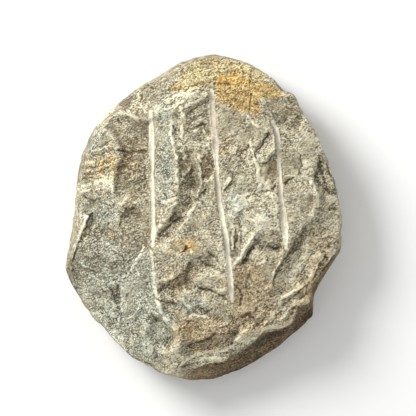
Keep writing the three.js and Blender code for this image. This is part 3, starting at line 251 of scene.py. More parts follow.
# Fine lines of the broken surface: relief, half width, tone from -1 dark to 1 pale, and the line.
# Their tone is partly the stone's own pale veins and dark cracks, partly painted highlight on lit crests
# and painted shadow under ledges.
LINES = [
    # upper left edge and the rim of the valley
    (0.3, 1.0, 0.7, (-45, 33), (-42.5, 36), (-40, 38.5), (-35.5, 44)),
    (0.5, 0.7, 0.8, (-26.6, 45), (-25.9, 47), (-25.7, 49.5), (-26.5, 51)),
    (-0.5, 0.6, -0.7, (-25.6, 45.2), (-24.7, 47.2)),
    (0.4, 0.7, 0.5, (-27.5, 46), (-28.5, 43), (-30, 41)),
    (0.4, 0.8, 0.6, (-37, 39.5), (-34, 41), (-31, 40.7), (-28, 39.6), (-25.5, 37.6)),
    (0.3, 0.7, 0.5, (-25.5, 44), (-23, 41.2), (-22, 44.5)),
    (-0.3, 0.7, -0.5, (-33, 49), (-30, 47.5), (-27, 48.5)),
    (-0.3, 0.6, -0.5, (-24.5, 50), (-22, 52), (-20, 51)),
    # top cap
    (0.5, 0.9, 0.9, (-15, 45.5), (-11, 47.5), (-6.5, 49.5), (-3, 50.8)),
    (0.5, 0.8, 0.9, (-15, 42.2), (-11, 43.6), (-7.5, 46.5), (-4, 48.6)),
    (-0.4, 0.7, -0.33, (-13, 44.2), (-9, 45.6), (-5, 47.4)),
    (0.4, 0.8, 0.6, (-10, 41.4), (-5, 44.4), (0, 46.8), (1.6, 48.4)),
    (-0.5, 0.6, -0.45, (-3, 50.2), (0.5, 49.6), (3, 50.4)),
    (-0.4, 0.5, -0.45, (4, 52.3), (7, 52.4), (10, 52.2)),
    (-0.3, 0.5, -0.33, (-1, 60.2), (4, 60.5), (10, 60), (14, 60.6)),
    (-0.3, 0.5, -0.33, (-6, 59), (-2, 61.6), (0, 62.5)),
    (-0.3, 0.5, -0.33, (3, 57.5), (8, 56.6), (13, 57.6), (17, 56.5)),
    (-0.3, 0.5, -0.26, (-9, 53), (-5, 56), (-3, 58.5)),
    (-0.3, 0.5, -0.33, (-14, 50.5), (-10, 49.8), (-8.5, 51)),
    (0.3, 0.6, 0.5, (-6, 56.5), (-2.5, 58), (1, 57.6)),
    (0.3, 0.6, 0.4, (5, 59), (10, 58.6), (15, 59)),
    (0.3, 0.6, 0.4, (2, 55), (7, 54.2), (12, 55)),
    (-0.4, 0.7, -0.39, (18.6, 57), (18.2, 52), (18.8, 48), (18.2, 44), (18, 41)),
    (-0.3, 0.5, -0.33, (5, 49.4), (9, 48.6), (13, 49.4), (16.5, 48.4)),
    (-0.3, 0.5, -0.26, (9, 46.4), (13, 46.2), (16.5, 45)),
    (-0.3, 0.6, -0.33, (20, 50.2), (24, 49.4), (28.5, 49.6)),
    (0.4, 0.7, 0.4, (20, 48.2), (25, 48.3), (31, 47.9), (36, 48.4)),
    # rough band between the left and middle grooves
    (0.5, 0.8, 0.9, (-9.2, 43), (-8.1, 40), (-7.7, 37)),
    (0.5, 0.7, 0.8, (-8.6, 36), (-8.1, 33), (-8.6, 30.8)),
    (0.6, 0.8, 0.8, (-12, 37), (-13, 34), (-12.6, 30.5), (-12, 26), (-10.8, 23.5)),
    (-0.6, 0.6, -0.9, (-12.7, 35.6), (-11.4, 34.2)),
    (-0.5, 0.5, -0.9, (-14.6, 18), (-14.6, 15)),
    (0.5, 0.8, 0.5, (-12, 27.6), (-11, 23.5), (-10.3, 20), (-10.6, 15), (-10.4, 10)),
    (0.3, 0.45, 0.6, (-9.2, 20.6), (-7.2, 20.4), (-5.6, 19.4)),
    (0.6, 0.6, 0.9, (-9.3, 13.4), (-8, 16), (-6, 18), (-5.4, 20.4)),
    (0.3, 0.6, -0.1, (-9, 20.4), (-7, 20.2), (-5.4, 21)),
    (0.5, 0.9, 0.1, (-4, 25), (-3, 21), (-1.6, 17), (-1, 13), (-2, 10.5), (-2.6, 8)),
    (-0.3, 0.5, -0.6, (-1.6, 22), (-0.6, 18), (-0.4, 15)),
    (0.3, 0.5, 0.3, (-2.4, 10), (-2.6, 6), (-3.4, 3)),
    (0.4, 0.6, 1.0, (-2.6, 24.4), (-1.3, 21.4)),
    (0.3, 0.5, 0.2, (-0.9, 20.6), (0.2, 18), (0.3, 15), (0.5, 13)),
    (0.5, 0.6, 0.8, (1, 13.4), (3, 14.9), (4.6, 17.4)),
    (-0.6, 0.6, -0.8, (-2.2, 6.4), (-1, 8.5), (1, 10.4)),
    (0.4, 0.7, 0.5, (-1.8, 4.6), (-0.6, 6.6), (1, 8.6)),
    (0.4, 0.5, 0.4, (-9, 8.6), (-7, 8.5), (-5.6, 6.6)),
    (0.5, 0.8, 1.0, (-16, 5), (-13, 6.5), (-10, 7)),
    (0.3, 0.8, 0.6, (-18.4, 10.6), (-16.8, 9.6), (-16, 7.6)),
    (-0.5, 0.6, -0.8, (-15.3, 8.4), (-14.8, 6.9)),
    (-0.5, 0.6, -0.7, (-17.2, 26.6), (-16, 26)),
    (0.4, 0.7, 0.7, (-8, 0.4), (-4.6, 2), (-3, 4.4)),
    (0.4, 0.7, 0.6, (-17.6, -4.6), (-16, 0), (-14.2, 3.6), (-11, 5)),
    (0.4, 0.8, 0.7, (-20, -4), (-18, -1), (-16.6, 2)),
    (-0.5, 0.8, -0.5, (-17.5, -7), (-14, -4.6), (-10.6, -1.4), (-7.4, 0.4)),
    (-0.4, 0.7, -0.7, (-11.2, 3), (-12.2, 0.6), (-13.2, -1.6)),
    (0.4, 0.8, 0.8, (-8.4, 25.6), (-7, 24), (-8, 22.6)),
    (0.4, 0.6, 0.7, (-0.6, 26), (1.2, 27.6), (1.6, 29)),
    (0.5, 0.8, 0.4, (-4, 36.8), (-1.4, 38), (1.4, 37.2)),
    (0.6, 0.9, 0.7, (-4.2, 33), (-2.4, 34.2)),
    (0.6, 0.8, 0.7, (-0.2, 33.8), (0.6, 32), (1.4, 31)),
    (-0.5, 0.8, -0.7, (-3.4, 35.2), (0.2, 36)),
    # plate between the middle and right grooves
    (-0.4, 0.5, -0.7, (6.6, 7.8), (8.2, 10), (11, 13.8), (12, 17)),
    (0.4, 0.8, 0.8, (6.4, 9.4), (8.4, 12), (10, 15)),
    (-0.5, 0.6, -0.7, (14.6, 24), (16.6, 26.4), (18, 28)),
    (-0.6, 0.55, -0.9, (20, 25), (22, 27), (24, 30), (25.6, 32.6)),
    (-0.4, 0.5, -0.6, (20, 24.4), (21, 22), (24, 20.6), (26, 22.4)),
    (0.4, 0.7, 0.8, (18.6, 30), (18.8, 26), (20.6, 21), (21.8, 16), (22, 12)),
    (0.4, 0.6, 0.7, (16.6, 40), (19, 37.6), (21.6, 35)),
    (0.5, 0.7, 0.9, (26.2, 36.2), (27.6, 36.6), (27.8, 33), (27.6, 28), (27.4, 25)),
    (-0.5, 0.6, -0.8, (24.6, 9.6), (27, 11), (29, 12.6)),
    (0.3, 0.8, 0.9, (11.4, 6), (13.4, 8), (16, 7.6)),
    (0.3, 0.7, 0.6, (12, 3), (16, 4.6), (20, 8)),
    (-0.3, 0.5, -0.5, (8, 20), (11, 23), (14, 27)),
    (-0.3, 0.5, -0.5, (10, 17), (14, 20), (17, 24)),
    (-0.3, 0.5, -0.4, (7, 34), (10, 37), (12, 41)),
    (-0.3, 0.5, -0.4, (11, 31), (14, 34), (16, 38)),
    (0.3, 0.6, 0.5, (20, 14), (24, 13), (28, 15)),
    (0.3, 0.7, 0.7, (23, 8), (26, 9), (28.6, 8)),
    (-0.3, 0.7, -0.6, (24, 5), (25.6, 3.4), (24.2, 1)),
    # right of the right groove, and the notch in the right edge
    (0.3, 0.6, 0.9, (30.8, 16), (36, 15.8)),
    (-0.4, 0.4, -0.7, (31.5, 12), (33.6, 14), (35.6, 15.2)),
    (0.4, 0.8, 0.9, (39, 15.6), (42, 14.4), (44, 11), (44.8, 8), (44.8, 4)),
    (0.4, 0.7, 0.8, (40.6, 17.2), (43, 18.6)),
    (-0.4, 0.5, -0.6, (38.2, 24), (38.6, 20), (38.2, 17)),
    (-0.5, 0.6, -0.8, (38.4, 17.2), (37.6, 16.4)),
    (0.3, 0.7, 0.5, (44.6, 25), (47, 27), (45.4, 31)),
    (-0.5, 0.8, -0.9, (45.5, 23.6), (46, 19), (44, 16), (46, 13), (49, 10.6)),
    (-0.4, 0.7, -0.8, (49, 21), (50, 17), (51.6, 13.4)),
    (0.3, 0.6, 0.9, (49.6, 24.6), (51.4, 20), (53, 14.6), (53.8, 10)),
    (-0.5, 0.8, -0.8, (45.4, 21), (47.4, 15), (50, 9.6), (53, 8.6)),
    (0.3, 0.6, 0.6, (53.2, 8.4), (54.4, 3), (55.4, 0)),
    (0.3, 0.7, 0.3, (47.6, 20), (48.6, 15.6), (50.6, 12)),
    (-0.7, 0.7, -1.0, (49.4, 2.4), (50.6, 2.9), (52, 2.6)),
    (-0.4, 0.5, -0.7, (51.4, 5.2), (53.2, 3.4)),
    (0.3, 0.8, 0.6, (44, 4), (42.6, 0.6), (41.4, -2)),
    (0.4, 0.8, 0.7, (39, 43.4), (41.4, 38), (42.6, 36)),
    (-0.3, 0.5, -0.6, (30, 38), (31.6, 36.6), (32.6, 38.6)),
    # left terrace
    (-0.4, 0.55, -0.7, (-50, 19.5), (-45, 19.1), (-40, 20.6), (-37, 22)),
    (-0.4, 0.55, -0.6, (-49, 16.5), (-44, 16.9), (-38, 19.2)),
    (-0.6, 0.6, -0.9, (-50.5, 14.6), (-47.4, 15.2), (-44, 15)),
    (0.3, 0.6, 0.5, (-47, 21), (-42, 21.6), (-38, 23.2), (-34, 25.2)),
    (0.3, 0.6, 0.5, (-46, 17.8), (-41, 18.6), (-38, 20.6), (-34.4, 22.2)),
    (-0.3, 0.5, -0.5, (-46, 23.5), (-41, 24.4), (-36, 26.6)),
    (-0.3, 0.5, -0.4, (-44, 27), (-40, 28), (-36.6, 30)),
    (0.3, 0.6, 0.4, (-45.6, 26), (-41, 26.4), (-36, 28.4)),
    (0.4, 0.7, 0.9, (-50, 10.6), (-47.4, 12), (-45, 12.6)),
    (0.3, 0.6, 0.7, (-49.6, 9), (-46, 10.2)),
    (0.5, 0.8, 0.9, (-43.4, 12.6), (-40.4, 14.4), (-37.2, 13.8), (-36.4, 10), (-35.6, 7.8)),
    (0.4, 0.7, 0.6, (-34.4, 5), (-32, 4.6), (-30.4, 8)),
    (-0.4, 0.6, -0.6, (-48, 8), (-44, 6), (-41, 7)),
    (-0.4, 0.6, -0.7, (-45.6, 0.6), (-44.4, 1)),
    # left valley
    (-0.4, 0.7, -0.8, (-33.6, 26), (-30, 25.4), (-25, 26), (-22.6, 25.4)),
    (-0.3, 0.6, -0.6, (-33, 17), (-28, 16.4)),
    (-0.4, 0.7, -0.4, (-32.4, 1), (-33, -3), (-32, -7), (-33, -13), (-31.5, -17), (-31.6, -21)),
    (-0.4, 0.8, -0.7, (-32, 3.6), (-29.6, 1.6), (-28, 3)),
    (0.3, 0.6, 0.5, (-29.6, 9), (-29.4, 6.4), (-27.4, 5)),
    # left rim and the field beside it
    (-0.5, 0.7, -0.8, (-45, 0), (-46.5, -4), (-48, -8), (-50, -12), (-51.6, -16), (-54, -21)),
    (0.4, 0.9, 0.6, (-46.6, 0), (-48, -4), (-49.6, -8), (-51.4, -12), (-53, -16.4)),
    (-0.3, 0.5, -0.5, (-50.6, -9), (-51.4, -11.6)),
    (-0.3, 0.6, -0.5, (-49, -15), (-45, -16.8), (-41, -16)),
    (-0.3, 0.6, -0.5, (-52, -22), (-48, -20.6), (-44, -22)),
    (-0.3, 0.6, -0.4, (-43, -5), (-39, -4), (-36.6, -5.6)),
    (0.3, 0.6, 0.4, (-46, -24.6), (-40, -23), (-35, -24)),
    (-0.5, 0.6, -0.9, (-40.4, -29), (-38.8, -30.2)),
    (-0.4, 0.6, -0.9, (-52.6, -28), (-50.4, -28.8)),
    (-0.4, 0.8, -0.6, (-38.4, -27.4), (-36, -30), (-35.2, -34)),
    (-0.4, 0.9, -0.7, (-34, -25.4), (-34, -30), (-34, -36), (-34.4, -42)),
    (0.4, 0.7, 0.5, (-33, -25), (-32.8, -31), (-32.8, -37), (-33.2, -43)),
    (0.4, 0.6, 0.6, (-24, -11.6), (-26, -16), (-28, -20), (-29.4, -22.6), (-33, -25)),
    (0.3, 0.6, 0.8, (-26.4, -21), (-25.6, -23.4)),
    (0.4, 0.9, 0.7, (-50, -31.6), (-46.4, -36.6), (-44, -39.4)),
    (0.3, 0.9, 0.6, (-38, -46), (-34.6, -49.6), (-31, -53)),
    (-0.4, 0.6, -0.8, (-34.4, -51.2), (-33.6, -52)),
    (-0.3, 0.8, -0.6, (-29, -56), (-25, -57.6), (-20, -59.4)),
    (-0.3, 0.7, -0.6, (-38, -40), (-36.4, -43), (-36, -45)),
    # smooth plate and the ledge right of it
    (0.4, 0.7, 0.8, (-21, -12), (-20.6, -16), (-19.8, -20), (-19.6, -27), (-18.8, -32)),
    (0.4, 0.6, 0.5, (-24, -41), (-21.4, -37.6), (-18.6, -38.4)),
    (-0.5, 0.8, -0.7, (-23, -41.4), (-20.6, -39.4), (-18, -42)),
    (0.5, 0.9, 1.0, (-18.6, -33.6), (-17, -36), (-16.6, -38.4), (-14.6, -41.6), (-11.6, -45)),
    (0.2, 0.6, 0.5, (-23.6, -45.6), (-23, -48.4), (-24, -50.6)),
    (-0.3, 0.6, -0.5, (-32, -45.4), (-28.6, -45.8), (-25.4, -48)),
    (-0.3, 0.6, -0.5, (-27, -36), (-23, -33.6)),
    (-0.2, 0.5, -0.4, (-31, -32), (-28, -28.6), (-26, -27)),
    (0.2, 0.5, 0.4, (-30, -41), (-27, -38.4), (-25.6, -35)),
    (-0.2, 0.5, -0.4, (-28, -42.6), (-25.6, -39.6), (-24.4, -36)),
    (-0.5, 0.8, -0.8, (-19.4, -5), (-19.8, -8), (-20, -11)),
    # middle of the slab, below the hollows
    (0.5, 0.8, 1.0, (-9.4, -4.6), (-8.2, -4.2)),
    (-0.5, 0.5, -0.8, (-4.6, -4), (-3.9, -4.2)),
    (-0.6, 0.8, -0.9, (-8.2, -14.2), (-7, -12.2)),
    (0.4, 0.9, 0.7, (-6.2, -11.4), (-5, -14)),
    (-0.4, 0.8, -0.7, (-2, -16.4), (1, -19), (4, -20.4)),
    (-0.4, 0.8, -0.7, (2, -14.6), (4.6, -16), (5.6, -18.4)),
    (-0.4, 0.8, -0.5, (-5.6, -19), (-7.6, -22.4), (-11, -24.8), (-14.6, -27.4), (-17, -28.8)),
    (0.4, 0.8, 0.7, (-17.4, -25.6), (-14.4, -24.6), (-12.6, -24.2)),
    (0.4, 0.7, 1.0, (2.6, -23.6), (4.2, -23.4)),
    (0.4, 0.8, 1.0, (5.6, -22.8), (8, -25)),
    (-0.4, 0.6, -0.6, (-4, -28), (0, -28.8), (4, -29.8), (7, -31.6), (10, -34)),
    (0.3, 0.7, 0.2, (-1.6, -27), (3, -28), (8, -30)),
    (0.3, 0.6, 0.7, (2.4, -23.4), (4.6, -23.2), (6.4, -24), (8.6, -25.4)),
    (0.4, 0.8, 0.9, (9.8, -1.6), (11.4, -5), (11, -8), (11.5, -11.4), (10.6, -14)),
    (0.4, 0.7, 0.9, (10, 1), (11.8, -0.4)),
    (-0.5, 0.8, -0.8, (12.4, -5.6), (12.6, -9), (12, -12.6)),
    (-0.4, 0.7, -0.8, (13, -0.6), (14.4, -3), (14.6, -10)),
    (0.5, 0.8, 0.9, (19.4, -7), (16.6, -12.4), (13.6, -17), (11, -20.6)),
    (-0.5, 0.8, -0.9, (19.6, -11), (17.4, -15.6), (15, -19)),
    (-0.4, 0.8, -0.8, (-18.4, -9), (-14.6, -6.6)),
    (0.3, 0.6, 0.5, (-9, -30), (-8.2, -34), (-5, -36.6)),
    (-0.4, 0.6, -0.6, (-18, -33), (-14.6, -34.6), (-11.6, -34.4)),
    (0.3, 0.5, 0.5, (-8.6, -33), (-7.2, -35.6), (-5, -37.4)),
    (-0.4, 0.8, -0.7, (-2, -36), (1, -38), (3, -36.6)),
    (-0.4, 0.6, -0.7, (-10, -46.4), (-7, -43), (-5, -41.4)),
    (-0.5, 0.5, -0.8, (5, -45), (9, -43.2), (11, -41.6), (14, -40.8)),
    (-0.7, 0.7, -1.0, (-6, -50.8), (0, -49.6), (4, -47.2), (8, -46.4)),
    (-0.8, 0.8, -1.0, (-6, -51.2), (-5.2, -51)),
    (-0.4, 0.6, -0.7, (10.4, -47), (10.4, -44), (12, -42)),
    (0.4, 0.8, 0.6, (-9, -41), (-4, -39), (2, -40.6)),
    (0.3, 0.6, 0.5, (0, -44), (5, -43), (10, -40)),
    # layered ledge above the steep side
    (0.5, 0.8, 0.9, (-9.4, -59), (-7, -57), (-2, -54.5), (4, -53.6), (8, -54), (11, -51.6)),
    (0.4, 0.7, 0.8, (-3, -57.2), (3, -56.4), (7, -57)),
    (-0.4, 0.5, -0.7, (-5, -56.8), (0, -55.4), (6, -55), (9.4, -54.6)),
    (-0.4, 0.5, -0.7, (7, -52), (11, -50.4), (15, -50.6)),
    (0.5, 0.8, 0.9, (11, -51.6), (14, -50), (17, -49.6), (21, -48), (24, -44.8), (27, -43.8)),
    (0.5, 0.9, 1.0, (11.8, -48.6), (13.8, -49)),
    (0.4, 0.8, 0.8, (27, -43.8), (30, -44.4), (33, -43.4), (35, -41)),
    (0.3, 0.7, 0.5, (-11, -64), (-10, -61.4), (-9, -59.4)),
    (-0.3, 0.6, -0.6, (-9, -60.2), (-4, -58.6), (2, -58.4), (7, -58.8)),
    # layered strokes at the lower right
    (-0.3, 0.6, -0.6, (14, -44), (18, -40), (21, -36)),
    (0.3, 0.6, 0.5, (16, -45.6), (20, -42), (24, -37)),
    (-0.3, 0.6, -0.5, (20, -44.6), (24, -40), (27, -35)),
    (0.3, 0.6, 0.6, (23, -44), (27, -39.6), (30, -34)),
    (-0.3, 0.6, -0.5, (26, -43), (30, -38.6), (33, -33.6)),
    (0.3, 0.6, 0.6, (30, -42), (33, -38), (36, -33.6)),
    (-0.3, 0.6, -0.5, (33, -40.6), (35.6, -37), (38, -33)),
    (0.4, 0.8, 0.9, (35.6, -35.6), (37.4, -34), (39.4, -33.4)),
    (0.3, 0.7, 0.9, (30.6, -37), (32.2, -36)),
    (0.3, 0.7, 0.8, (26.6, -39.4), (26.6, -37)),
    (-0.4, 0.9, -0.8, (15, -40), (18, -38.6), (20, -41.6)),
    (-0.3, 0.7, -0.7, (13, -28), (15, -31), (14, -35)),
    (-0.3, 0.6, -0.6, (18, -22), (16.6, -27), (19, -31)),
    (0.3, 0.6, 0.6, (21, -19), (24, -17.6), (26.6, -18.6)),
    (0.3, 0.6, 0.6, (24, -29), (27, -26.6), (29.6, -25)),
    # facets under the white patch, terrace and its scarp
    (-0.5, 0.9, -0.8, (20.6, -9), (22.6, -12), (24, -10.6)),
    (-0.5, 0.8, -0.8, (25.6, -11.6), (28, -13), (30, -12)),
    (-0.5, 0.6, -0.9, (27.6, -4.4), (28.4, -3.8)),
    (0.4, 0.7, 0.7, (21, -6), (24, -6.6), (26.6, -5)),
    (-0.5, 0.9, -0.9, (40, -5), (36, -11), (33, -16), (30, -20), (28, -23.6), (27.6, -27.4)),
    (0.4, 0.6, 0.7, (30, -19), (27.6, -22), (26.8, -25), (26.8, -28)),
    (-0.3, 0.6, -0.5, (33, -22), (36, -18), (39, -13.6)),
    (0.2, 0.6, 0.5, (35, -23), (38, -19), (41, -14)),
    (-0.3, 0.6, -0.5, (37, -24), (40, -20), (43, -15)),
    (0.3, 0.8, 1.0, (37.2, -27.4), (38.6, -28.4)),
    (0.5, 0.7, 0.8, (46.6, -15.4), (44, -21), (42, -25), (38, -28.6), (34, -30.6), (30, -33)),
    (0.5, 0.6, 0.6, (52, -14), (48, -19), (45, -24), (42.6, -26.4)),
    (-0.5, 0.6, -0.8, (48.6, -15.6), (46, -19.4), (44, -23)),
    (-0.5, 0.8, -0.9, (53.6, -13), (50, -18.6), (47, -22.6), (45, -27), (43.4, -31)),
    (0.4, 0.6, 0.6, (43, -26), (42, -29.4), (41.8, -32), (43.4, -34.4)),
    (-0.4, 0.6, -0.7, (41, -27.6), (40, -31), (38, -33)),
    (-0.3, 0.6, -0.6, (48, -9.6), (51, -11), (53.4, -10)),
    (0.3, 0.6, 0.5, (44, -7), (48, -8), (52, -7)),
    (-0.3, 0.6, -0.5, (42, -10), (46, -12), (50, -12.6)),
    # crinkled edges of the pale, rough ground beside the third groove
    (0.3, 0.6, 0.9, (11.8, 6.4), (13.4, 7.6), (15.4, 8.2), (17.6, 8.6)),
    (0.3, 0.6, 0.9, (12.2, 4.4), (13, 5.4), (13.6, 3.6), (12.6, 2.2)),
    (0.3, 0.5, 0.8, (21, 22.6), (21.2, 19), (20.8, 16), (21.6, 13)),
    (0.3, 0.6, 0.9, (23, 15), (24.4, 13.6), (24, 12), (26, 10.8)),
    (0.3, 0.7, 0.9, (26.4, 8), (27.8, 6.4), (28.6, 4), (28.2, 1), (28.8, -2), (29.6, -5)),
    (0.3, 0.6, 0.9, (14, -4.6), (16, -5.4), (18.4, -6.6)),
    (-0.3, 0.6, -0.7, (16.6, 7.4), (19, 8.6), (22, 7.8)),
    (0.3, 0.5, 0.8, (47.6, -15), (45, -19), (43, -23.6), (40.6, -27)),
    (-0.4, 0.6, -0.8, (50, -15), (46.4, -21), (44, -24.6)),
    (-0.4, 0.6, -0.7, (44, -25.6), (40.4, -28), (37, -30.4), (33.4, -33.4)),
]


# ---------------------------------------------------------------- fields over the plan

FAR = 1e9
SHIFT_UP = 0.37  # share of a noise's shift that goes upwards
CHIP_KEY = 37.0  # spreads the middles of the chips out, so that neighbours get their own lean
CHIP_RISE = 0.5  # how much of its random height a chip stands up or down


def smooth_step(low, high, value):
    t = np.clip((value - low) / (high - low), 0, 1)
    return t * t * (3 - 2 * t)


def turned(x, y, degrees):
    """Plan coordinates along and across a direction."""
    c, s = math.cos(math.radians(degrees)), math.sin(math.radians(degrees))
    return x * c + y * s, y * c - x * s


def gaps_to_pieces(xy, path):
    """For each piece of a path: its ends, how far along it each point is, the gap, and the side."""
    for a, b in zip(path[:-1], path[1:]):
        start = np.array(a[:2], float)
        along = np.array(b[:2], float) - start
        away = xy - start
        t = np.clip(away @ along / (along @ along), 0, 1)
        gap = away - t[:, None] * along
        cross = along[0] * away[:, 1] - along[1] * away[:, 0]
        yield a, b, t, np.hypot(gap[:, 0], gap[:, 1]), np.sign(cross)


def distance_to_path(xy, path):
    """Distance of each point to a line of points, and which side of it: +1 left, -1 right."""
    best = np.full(len(xy), FAR)
    side = np.ones(len(xy))
    for _, _, _, gap, gap_side in gaps_to_pieces(xy, path):
        nearer = gap < best
        best = np.where(nearer, gap, best)
        side = np.where(nearer, gap_side, side)
    return best, side


def tapered_gap(xy, groove):
    """Distance to a groove's middle line over its half width there: 1 at its edge."""
    gaps = [gap / (a[2] + t * (b[2] - a[2])) for a, b, t, gap, _ in gaps_to_pieces(xy, groove)]
    return np.min(gaps, axis=0)


def close_to(plan, path, reach):
    """Numbers of the points in the box round a path, with this much to spare."""
    corners = np.array(path, float)
    inside = (plan > corners.min(0) - reach) & (plan < corners.max(0) + reach)
    return np.where(inside.all(1))[0]


def step_heights(xy, steps):
    """Ledges drawn as paths: the ground left of each path is raised and that right of it cut."""
    total = np.zeros(len(xy))
    for height, reach, path in steps:
        near = close_to(xy, path, reach)
        gap, side = distance_to_path(xy[near], path)
        ends = [np.hypot(*(xy[near] - np.array(end, float)).T) for end in (path[0], path[-1])]
        taper = smooth_step(0, STEP_TAPER * reach, np.minimum(*ends))
        face = smooth_step(-STEP_FACE, STEP_FACE, gap * side) * 2 - 1
        total[near] += height * face * np.clip(1 - gap / reach, 0, 1) * taper
    return total


def drawn_lines(plan, thickness, lines):
    """Relief and tone that the fine lines leave at each point of the plan."""
    raised = np.zeros(len(plan))
    tone = np.zeros(len(plan))
    for depth, half_width, shade, *path in lines:
        near = close_to(plan, path, 2 * half_width)
        gap = distance_to_path(plan[near], path)[0] / (LINE_SHARE * half_width * thickness[near])
        raised[near] += depth * np.clip(LINE_RIDGE - gap, 0, 1)
        tone[near] += shade * (1 - smooth_step(*LINE_FADE, gap))
    return raised, tone


def soft_patches(xy, patches):
    """Sum of soft oval patches: middle x, y, half width, half height, turn in degrees, strength."""
    total = np.zeros(len(xy))
    for x, y, wide, high, turn, strength in patches:
        along, across = turned(xy[:, 0] - x, xy[:, 1] - y, turn)
        reach = np.sqrt((along / wide) ** 2 + (across / high) ** 2)
        total += strength * (1 - smooth_step(*PATCH_FADE, reach))
    return total


def noise_places(points, size, turn, stretch, shift):
    """Where a noise is read so that its lumps have about this size; turn is in degrees about Z."""
    x, y = turned(points[:, 0], points[:, 1], turn)
    places = [
        x / (size * stretch[0]) + shift,
        y / (size * stretch[1]) - shift,
        points[:, 2] / (size * stretch[2]) + SHIFT_UP * shift,
    ]
    return np.column_stack(places).tolist()


def noise_field(points, size, shift, stretch=(1, 1, 1)):
    """Soft noise, -1 to 1, in lumps of about this size."""
    return np.array([noise.noise(p) for p in noise_places(points, size, 0.0, stretch, shift)])


def chip_field(points, size, turn, stretch, shift, lean):
    """Flat-faced chips, about -1 to 1: each stands at its own height and leans its own way."""
    values = []
    for p in noise_places(points, size, turn, stretch, shift):
        centre = noise.voronoi(p)[1][0]
        tilt = noise.cell_vector(centre * CHIP_KEY)
        slope = (p[0] - centre[0]) * tilt[0] + (p[1] - centre[1]) * tilt[1]
        values.append(tilt[2] * CHIP_RISE + lean * slope)
    return np.array(values)


def wander(points, size, push, shifts):
    """A soft sideways push for each point, in millimetres."""
    return push * np.column_stack([noise_field(points, size, shift) for shift in shifts])


def swing(points, mean, amount, size, shift):
    """A value that comes and goes around its mean from place to place."""
    return mean + amount * noise_field(points, size, shift)


def spread(values, edges, rounds, count):
    """Neighbour averaging over the mesh's edges."""
    a, b = edges[:, 0], edges[:, 1]
    degree = np.bincount(a, minlength=count) + np.bincount(b, minlength=count)
    for _ in range(rounds):
        total = np.bincount(a, values[b], count) + np.bincount(b, values[a], count)
        values = 0.5 * values + 0.5 * total / degree
    return values


# ---------------------------------------------------------------- the slab's mesh

def fine_map():
    """A square map of the plan: True where the mesh beside the drawn lines is fine."""
    side = int(2 * MAP_HALF / MAP_CELL)
    centres = (np.arange(side) + 0.5) * MAP_CELL - MAP_HALF
    plan = np.array(np.meshgrid(centres, centres, indexing="ij")).reshape(2, -1).T
    fine = np.zeros(len(plan), bool)
    drawn_paths = [(LINE_SHARE * half_width, path) for _, half_width, _, *path in LINES]
    drawn_paths += [(STEP_FACE, path) for _, _, path in STEPS]
    drawn_paths += [(GROOVE_HALF, [corner[:2] for corner in groove]) for groove in GROOVES]
    drawn_paths += [(STEP_FACE, BRINK)]
    for half_width, path in drawn_paths:
        reach = half_width + FINE_REACH
        near = close_to(plan, path, reach)
        fine[near] |= distance_to_path(plan[near], path)[0] < reach
    return fine.reshape(side, side)


FINE_MAP = fine_map()


def is_fine(place):
    column = int((place.x / MM + MAP_HALF) / MAP_CELL)
    row = int((place.y / MM + MAP_HALF) / MAP_CELL)
    return FINE_MAP[column, row]


def local_limit(edge):
    """Longest edge wanted where this one is, in metres."""
    middle = (edge.verts[0].co + edge.verts[1].co) / 2
    facing = (edge.verts[0].normal + edge.verts[1].normal) / 2
    if middle.z < REST_LIMIT * MM:
        return REST_EDGE * MM
    if facing.z > UPPER_FACING:
        return (FINE_EDGE if is_fine(middle) else TOP_EDGE) * MM
    if facing.z > SIDE_FACING:
        return SIDE_EDGE * MM
    return UNDER_EDGE * MM


def refined_copy(node):
    """A merged copy of the solid, cut into small triangles and melted together."""
    bm = bmesh.new()
    bm.from_mesh(node.data)
    bmesh.ops.remove_doubles(bm, verts=bm.verts, dist=MERGE * MM)
    bmesh.ops.dissolve_degenerate(bm, edges=bm.edges, dist=SLIVER * MM)
    bmesh.ops.triangulate(bm, faces=bm.faces)
    for _ in range(REFINE_ROUNDS):
        bm.normal_update()
        long_edges = [e for e in bm.edges if e.calc_length() > local_limit(e)]
        if not long_edges:
            break
        bmesh.ops.subdivide_edges(bm, edges=long_edges, cuts=1)
        bmesh.ops.triangulate(bm, faces=bm.faces)
    bmesh.ops.beautify_fill(bm, faces=bm.faces, edges=bm.edges)
    loose = [v for v in bm.verts if v.co.z > REST_LIMIT * MM]
    for _ in range(MELT_ROUNDS):
        bmesh.ops.smooth_vert(
            bm, verts=loose, factor=MELT_FACTOR, use_axis_x=True, use_axis_y=True, use_axis_z=True
        )
    bmesh.ops.recalc_face_normals(bm, faces=bm.faces)
    mesh = bpy.data.meshes.new("split_slate_slab")
    bm.to_mesh(mesh)
    bm.free()
    return mesh


def read_array(collection, attribute, width, kind):
    """One attribute of everything in a mesh's collection, as rows of numbers."""
    values = np.empty(len(collection) * width, kind)
    collection.foreach_get(attribute, values)
    return values.reshape(-1, width)


def normals_of(mesh):
    return read_array(mesh.vertex_normals, "vector", 3, np.float32).astype(float)


slab_mesh = refined_copy(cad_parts["grooved_stone"])
points = read_array(slab_mesh.vertices, "co", 3, np.float32).astype(float) / MM
normals = normals_of(slab_mesh)
edges = read_array(slab_mesh.edges, "vertices", 2, np.int32)
count = len(points)

upward = smooth_step(*UPWARD, normals[:, 2])  # 1 on the upper side, 0 down the sides
downward = smooth_step(*DOWNWARD, -normals[:, 2])
on_side = (1 - upward) * (1 - downward)
rough_depth = smooth_step(0, REST_RIM, points[:, 2] - REST_LIMIT)  # 0 on the resting face

# Ledges and hollows are made a little bolder than the solid's melted triangles leave them.
melted = spread(points[:, 2], edges, BOLD_ROUNDS, count)
points[:, 2] += BOLDNESS * (points[:, 2] - melted) * upward
points[:, 2] += step_heights(points[:, :2] + wander(points, *STEP_WANDER), STEPS) * upward

